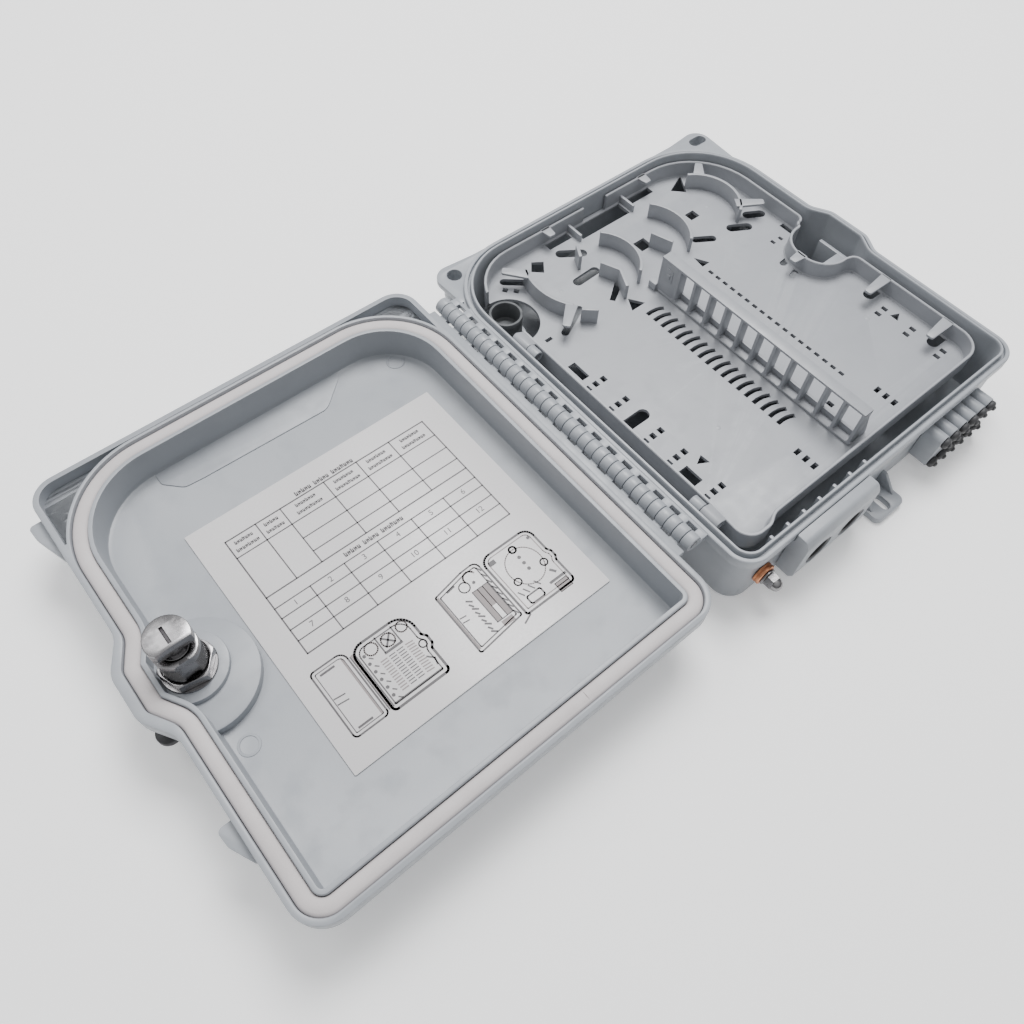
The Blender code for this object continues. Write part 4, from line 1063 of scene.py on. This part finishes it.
def label_print():
    """The printed table, its headings and two pictures, in black and in grey."""
    ink, grey = Print(), Print()
    left, right = TABLE_LEFT, TABLE_RIGHT
    ink.words(TITLE_X, 52.8, (9.0, 8.5, 12.5), 3.6)
    columns = [left, -260.5, -247.0, -222.5, -203.5, -184.0, right]
    ink.line(rectangle(left, UPPER_BOTTOM, right, UPPER_TOP), 0.7, closed=True)
    ink.dash(left, 39.7, right, 39.7)
    for y in (30.0, 21.3):
        ink.line([(columns[2], y), (right, y)])
    for x in columns[1:-1]:
        ink.dash(x, UPPER_BOTTOM, x, UPPER_TOP)
    for a, b in zip(columns, columns[1:]):
        wide = min(b - a - 4, 14.0)
        ink.words((a + b) / 2, 47.2, (wide * 0.8,), 2.8)
        ink.words((a + b) / 2, 43.0, (wide,), 2.8)
    ink.words(TITLE_X, 10.3, (9.0, 8.5, 12.5), 3.6)
    ink.line([(left, UPPER_BOTTOM), (left, LOWER_BOTTOM), (right, LOWER_BOTTOM),
              (right, UPPER_BOTTOM)], 0.7)
    for y in (LOWER_TOP, 1.0, -6.0, -12.5):
        ink.dash(left, y, right, y)
    columns = [left, -258.0, -239.5, -221.0, -201.5, -182.5, right]
    for x in columns[1:-1]:
        ink.dash(x, LOWER_TOP, x, LOWER_BOTTOM)
    for i, (a, b) in enumerate(zip(columns, columns[1:])):
        ink.digits((a + b) / 2, 4.0, i + 1)
        ink.digits((a + b) / 2, -9.3, i + 7)
    open_cover_drawing(ink, grey)
    tray_drawing(ink, grey)
    return (solid("label_print", ink.form, smooth=False),
            solid("label_print_grey", grey.form, smooth=False))


def open_cover_drawing(ink, grey):
    """The label's left picture: the box with its cover open."""
    cover = [(-281.3, -64, 2), (-264.3, -64, 2), (-264.3, -28.7, 4), (-281.3, -28.7, 2)]
    ink.line(rounded(cover), 0.8, True)
    ink.line(rounded(inset(cover, 1.7)), 0.4, True)
    grey.dash(-266.6, -31, -266.6, -62, 0.8)
    ink.dash(-277.5, -32, -271, -32, 1.0)
    ink.dash(-277.5, -61, -271, -61, 1.0)
    for y in (-44.5, -47.5):
        ink.dash(-279, y, -274, y - 0.6, 0.6)
    base = [(-262, -64.6, 2), (-232.8, -64.6, 2), (-232.8, -51.5, 1), (-231.2, -49.5, 1),
            (-231.2, -45.5, 1), (-232.8, -43.5, 1), (-232.8, -30.3, 8), (-262, -30.3, 6)]
    ink.line(rounded(base), 1.2, True)
    ink.line(rounded(inset(base, 2.2)), 0.6, True)
    ink.dash(-260, -62, -235, -62, 0.9)
    for x in (-250, -241.5):
        ink.dash(x, -32, x, -40.5, 0.7)
    ink.dash(-250, -41, -241.5, -41, 1.2)
    for x, y, radius in ((-254, -35.5, 3.0), (-245.7, -36.5, 3.2), (-237.5, -35, 2.6)):
        grey.line(circle(x, y, radius), 0.7, True)
    ink.dash(-248, -34, -243.5, -39, 0.9)
    ink.dash(-243.5, -34, -248, -39, 0.9)
    for row in range(12):
        y = -43.2 - row * 1.45
        grey.dash(-254, y, -251, y, 0.6)
        ink.dash(-249.6, y, -246.8, y, 0.5)
        ink.dash(-245.6, y, -242.6, y, 0.5)
        grey.dash(-241, y, -237.6, y - 0.3, 0.6)
    for row in range(6):
        y = -36.5 - row * 4.4
        ink.patch(circle(-258.3, y, 0.9)[::3])
        ink.dash(-257, y - 2, -255.8, y - 3.2, 0.6)
    ink.line(circle(-234.8, -47.5, 1.8), 0.6, True)
    ink.line([(-237, -53.5), (-234.6, -56), (-235.4, -59)], 0.8)
    for x in (-263.2, -261):
        ink.dash(x, -33, x, -62.5, 0.6)
    grey.dash(-262.1, -33, -262.1, -62.5, 1.4)


def tray_drawing(ink, grey):
    """The label's right picture: the box with its tray swung up."""
    panel = [(-217.6, -67, 1), (-192, -64, 1), (-192, -30, 3), (-201, -30.4, 1),
             (-217.6, -33.5, 1)]
    ink.line(rounded(panel), 0.8, True)
    ink.line(rounded(inset(panel, 1.8)), 0.6, True)
    grey.dash(-216.7, -65, -216.7, -34.5, 0.9)
    grey.patch(rectangle(-202.6, -60, -199.9, -42))
    grey.patch(rectangle(-197.2, -60, -194.4, -42))
    grey.patch(rectangle(-199.9, -52.5, -197.2, -42))
    grey.patch(rectangle(-201.5, -64, -195.5, -61))
    ink.line(rectangle(-202.8, -60.2, -194.2, -41.8), 0.5, True)
    ink.dash(-200, -42, -200, -60, 0.4)
    ink.dash(-197.2, -42, -197.2, -60, 0.4)
    ink.line(circle(-204, -37.5, 2.6), 0.6, True)
    grey.line(arc(-199, -35, 3.2, 20, 200), 0.9)
    ink.patch(circle(-199, -38, 0.9)[::3])
    ink.dash(-211.5, -34.6, -207.5, -34.0, 1.0)
    for y in (-48.5, -51.0):
        ink.dash(-215, y, -212, y - 0.4, 0.6)
    for row in range(9):
        y = -43.5 - row * 2.3
        ink.line([(-207.6, y), (-205.6 - (row % 2), y - 1.6)], 0.9)
    for row in range(8):
        ink.dash(-193.6, -33 - 3.9 * row, -192.6, -35.2 - 3.9 * row, 0.7)
    base = [(-190, -65.6, 1), (-161.6, -65.6, 2), (-161.6, -52.5, 1), (-160.4, -50.5, 1),
            (-160.4, -47.5, 1), (-161.6, -45.5, 1), (-161.6, -31, 5), (-190, -31, 5)]
    ink.line(rounded(base), 1.1, True)
    grey.line(rounded(inset(base, 1.9)), 0.5, True)
    ink.patch(rectangle(-188, -36.8, -184.5, -34.3))
    ink.line(circle(-174.5, -36, 1.7), 0.9, True)
    for y in (-41, -44.6, -48.2):
        ink.patch(circle(-174.5, y, 1.0)[::3])
    for x, y in ((-167, -50), (-183, -50.5)):
        ink.line(circle(x, y, 1.8), 0.7, True)
    grey.line([(-175 + 9 * math.cos(a / 8), -46 + 10 * math.sin(a / 8)) for a in range(50)], 0.5,
              True)
    ink.patch(circle(-164.6, -35.5, 0.9)[::3])
    ink.dash(-167.4, -55, -166, -57, 1.2)
    for x in (-186.5, -183.5, -180.5, -177):
        ink.dash(x, -54.8, x + 1.4, -57.6, 0.7)
    ink.line(rounded_rectangle(-185, -63, -177, -58.8, 1), 0.8, True)
    ink.dash(-171.5, -60.2, -163, -60.2, 1.3)
    grey.patch(rectangle(-170.6, -66.8, -163.8, -61.8))
    ink.line(rectangle(-170.6, -66.8, -163.8, -61.8), 0.4, True)
    ink.dash(-193.5, -68.3, -189, -66.4, 0.8)


# ---------------------------------------------------------------- lock

def lock_housing():
    bore = 6.5
    threads = []
    h = 29.4
    while h < 47.6:
        threads += [(HOUSING_R, h), (HOUSING_R, h + 0.25), (HOUSING_R - 0.42, h + 0.7),
                    (HOUSING_R - 0.42, h + 0.85)]
        h += 1.3
    profile = [(bore, 17.4), (11.2, 17.4), (12.0, 17.7), (12.4, 18.4), (12.4, 19.3),
               (12.1, 19.7), (HOUSING_R, 19.7), (HOUSING_R, 29.2), *threads,
               (HOUSING_R, 48.2), (HOUSING_R, 51.3), (HOUSING_R - 0.2, 51.8),
               (HOUSING_R - 0.7, 52), (bore + 0.4, 52), (bore, 51.6), (bore, 17.4)]
    housing = turned("barrel", profile, (LOCK_X, LOCK_Y, 0), sides=96)
    flats = joined("flats", [block("flat", (LOCK_X - 20, LOCK_Y + s * 11.6 - 3, 29.35),
                                   (LOCK_X + 20, LOCK_Y + s * 11.6 + 3, 60), 0)
                             for s in (-1, 1)])
    return boolean(housing, flats)


def lock_plug():
    """The turning core, with a slotted cam head that is flat on two sides."""
    place = (LOCK_X, LOCK_Y, 0)
    core = turned("core", [(0, 17.8), (5.8, 17.8), (6.2, 18.2), (6.2, 52.2), (6.0, 52.4),
                           (5.2, 52.4), (5.2, 58), (0, 58)], place, sides=64)
    corner = (LOCK_X - 0.78 * HOUSING_R, LOCK_Y - 0.53 * HOUSING_R)
    head = prism("head", [arc(LOCK_X, LOCK_Y, HOUSING_R, -32, 201) + [corner]], *HEAD_ZS, 0.5)
    boolean(head, block("end_slot", (LOCK_X - 0.8, LOCK_Y - 3.5, 59.0),
                        (LOCK_X + 0.8, LOCK_Y + 5.0, 65), 0))
    boolean(core, block("key_slot", (LOCK_X - 1, LOCK_Y - 4, 15), (LOCK_X + 1, LOCK_Y + 4, 23),
                        0))
    return joined("core", [core, head])


def slot_grime():
    """A dark block at the bottom of the lock head's slot: painted shade that stands in for the
    shadow down in the slot.
    """
    return block("slot_grime", (LOCK_X - 0.7, LOCK_Y - 3.4, 59.1),
                 (LOCK_X + 0.7, LOCK_Y + 4.9, 61.0), 0.1)


def lock_nut():
    outline = [hexagon(LOCK_X, LOCK_Y, 24.4, -10), circle(LOCK_X, LOCK_Y, HOUSING_R + 0.6)]
    return chamfered_hexagon("hex_nut", outline, 12.2, *NUT_ZS, (LOCK_X, LOCK_Y, NUT_ZS[0]), 1.1)


def lock_washer():
    r = HOUSING_R + 0.3
    return turned("spring_washer", [(r, 30.6), (12.0, 30.6), (12.2, 30.8), (12.2, 31.3),
                                    (12.0, 31.5), (r, 31.5), (r, 30.6)], (LOCK_X, LOCK_Y, 0),
                  sides=80)


def dust_cap():
    px, py = CAP_PIVOT
    lean = math.atan2(LOCK_Y - py, LOCK_X - px)
    reach = math.hypot(LOCK_X - px, LOCK_Y - py) + CAP_ARM_R
    along = Vector((math.cos(lean), math.sin(lean)))
    start = Vector(CAP_PIVOT) - along * CAP_ARM_R
    disc = prism("cap", [circle(LOCK_X, LOCK_Y, 13.5)], *CAP_ZS, 0.6)
    arm = prism("cap_arm", [slot_between(start, start + along * (reach + CAP_ARM_R),
                                         2 * CAP_ARM_R)], *CAP_ZS, 0.6)
    return boolean(joined("cap", [boolean(disc, arm, "UNION")]),
                   prism("cap_eye", [circle(px, py, 2.1)], 10, 20))


def cap_screw():
    return turned("cap_screw", [(0, 11.0), (2.6, 11.1), (3.4, 11.6), (3.6, 12.4), (3.5, 12.9),
                                (1.8, 12.9), (1.8, 31.0), (1.6, 31.2), (0, 31.2)],
                  (*CAP_PIVOT, 0), sides=32)


# ---------------------------------------------------------------- assembly

def build():
    piece(base_body(), "base", "grey_abs", "base_shell")
    piece(base_ears(), "base", "grey_abs")
    piece(base_inside(), "base", "grey_abs")
    piece(knuckles("base_knuckles", base_knuckle_ys(), 1), "base", "grey_abs")
    piece(joined("base_lip", [
        hinge_lip("lip", BASE_LEFT - 1.2, BASE_LEFT + 1),
        block("pocket_floor", (-110.3, base_knuckle_ys()[0] + 1, 26.8),
              (BASE_LEFT + 1, base_knuckle_ys()[-1] + 2, 28.3))]), "base", "grey_abs")
    piece(rear_entry_grommet(), "base", "grey_rubber", "rear_entry_grommet",
          slot="black_rubber")
    piece(rear_entry_socket(), "base", "grey_abs")
    piece(cable_entry_block(), "base", "grey_abs", "cable_entry_block")
    for number, x in enumerate(PORT_XS, 1):
        piece(port_grommet(number, x), "base", "black_rubber", f"port_grommet_{number}")
    piece(drop_outlet_block(), "base", "grey_abs", "drop_outlet_block")
    for row, z in zip(("lower", "upper"), OUTLET_ZS):
        for number, x in enumerate(OUTLET_XS, 1):
            piece(drop_plug(f"plug_{row}_{number}", x, z), "base", "black_rubber",
                  f"drop_plug_{row}_{number}")
    bushing, washer, stud = ground_terminal()
    piece(bushing, "base", "copper", "ground_bushing")
    piece(washer, "base", "chrome", "ground_washer")
    piece(stud, "base", "brass", "ground_stud")
    piece(ground_nut(), "nut", "chrome", "ground_nut")
    piece(lock_catch(), "base", "grey_abs", "lock_catch")
    for node in ("hinge_pin", "tray_pivot_pin_upper", "tray_pivot_pin_lower"):
        kept(node, "steel", 0.2)
    for number in (1, 2):
        kept(f"cable_clamp_{number}", "zinc_plate", 0.25)
        for side in ("left", "right"):
            kept(f"clamp_screw_{number}_{side}", "zinc_plate", 0.1)
    piece(splice_tray(), "tray", "grey_abs_tray", "splice_tray")
    piece(adapter_strip(), "tray", "grey_abs_tray", "adapter_strip")
    piece(cover_body(), "cover", "grey_abs", "cover_shell")
    piece(knuckles("cover_knuckles", cover_knuckle_ys(), -1), "cover", "grey_abs")
    piece(hinge_lip("cover_lip", COVER_NEAR - 1, -120.3), "cover", "grey_abs")
    piece(seal(), "cover", "pale_foam", "gasket")
    piece(prism("label", [rounded_rectangle(*LABEL_BOX, 0.6)], 22.5, LABEL_Z, 0.04),
          "cover", "label_paper", "label_sheet")
    black, grey = label_print()
    piece(black, "cover", "label_ink", slot="label_paper")
    piece(grey, "cover", "label_grey_ink", slot="label_paper")
    piece(lock_housing(), "cover", "chrome", "lock_housing")
    piece(lock_washer(), "cover", "chrome", "lock_washer")
    piece(lock_nut(), "cover", "chrome", "lock_nut")
    piece(cap_screw(), "cover", "steel", "cap_pivot_screw")
    piece(lock_plug(), "lock_core", "chrome", "lock_plug")
    # painted shade: a black block down in the lock head's slot, in place of its shadow
    piece(slot_grime(), "lock_core", "label_ink", slot="chrome")
    piece(dust_cap(), "dust_cap", "black_rubber", "lock_cap")


# ---------------------------------------------------------------- studio

def sky():
    """Bright overhead and dim near the horizon, like a tent with a top light."""
    world = bpy.data.worlds.new("sky")
    world.use_nodes = True
    tree = world.node_tree
    split = add_node(tree, "SeparateXYZ", (0, add_node(tree, "TexCoord").outputs["Generated"]))
    ramp = add_node(tree, "MapRange", ("Value", split.outputs["Z"]), ("From Min", 0.1),
                    ("From Max", 0.9), ("To Min", 0.12), ("To Max", 0.9))
    background = tree.nodes["Background"]
    background.inputs["Color"].default_value = (0.98, 0.99, 1.0, 1.0)
    tree.links.new(ramp.outputs["Result"], background.inputs["Strength"])
    return world


def studio():
    floor = block("floor", (-4000, -4000, -30), (4000, 4000, 0), 0)
    paint = Finish("floor_paint", (0.93, 0.93, 0.93), 0.9)
    paint.roughen((paint.noise(3, 2), 0.05))
    paint.shader.inputs["Emission Color"].default_value = (1, 1, 1, 1)
    paint.shader.inputs["Emission Strength"].default_value = 0.25
    floor.data.materials.append(paint.done())
    bpy.context.scene.world = sky()
    for name, place, target, size, power in (
            ("key", (0.42, 0.42, 1.5), (-0.12, 0, 0), 0.8, 36.0),
            ("fill", (-0.5, 0.7, 1.1), (-0.1, 0, 0), 0.6, 4.0)):
        light = bpy.data.lights.new(name, "AREA")
        light.size = size
        light.energy = power
        lamp = placed(name, light)
        lamp.location = place
        aim = Vector(target) - Vector(place)
        lamp.rotation_euler = aim.to_track_quat("-Z", "Y").to_euler()


def camera():
    lens = bpy.data.cameras.new("photo_camera")
    lens.lens = 30.27
    lens.sensor_width = 36.0
    lens.clip_start = 0.01
    lens.clip_end = 100.0
    view = placed("photo_camera", lens)
    right = Vector((0.7711, -0.6361, 0.0279)).normalized()
    back = Vector((-0.34761, -0.38382, 0.85548)).normalized()
    up = back.cross(right).normalized()
    right = up.cross(back)
    turn = Matrix((right, up, back)).transposed().to_4x4()
    view.matrix_world = Matrix.Translation((-0.3052, -0.1787, 0.37705)) @ turn
    bpy.context.scene.camera = view


build()
studio()
camera()
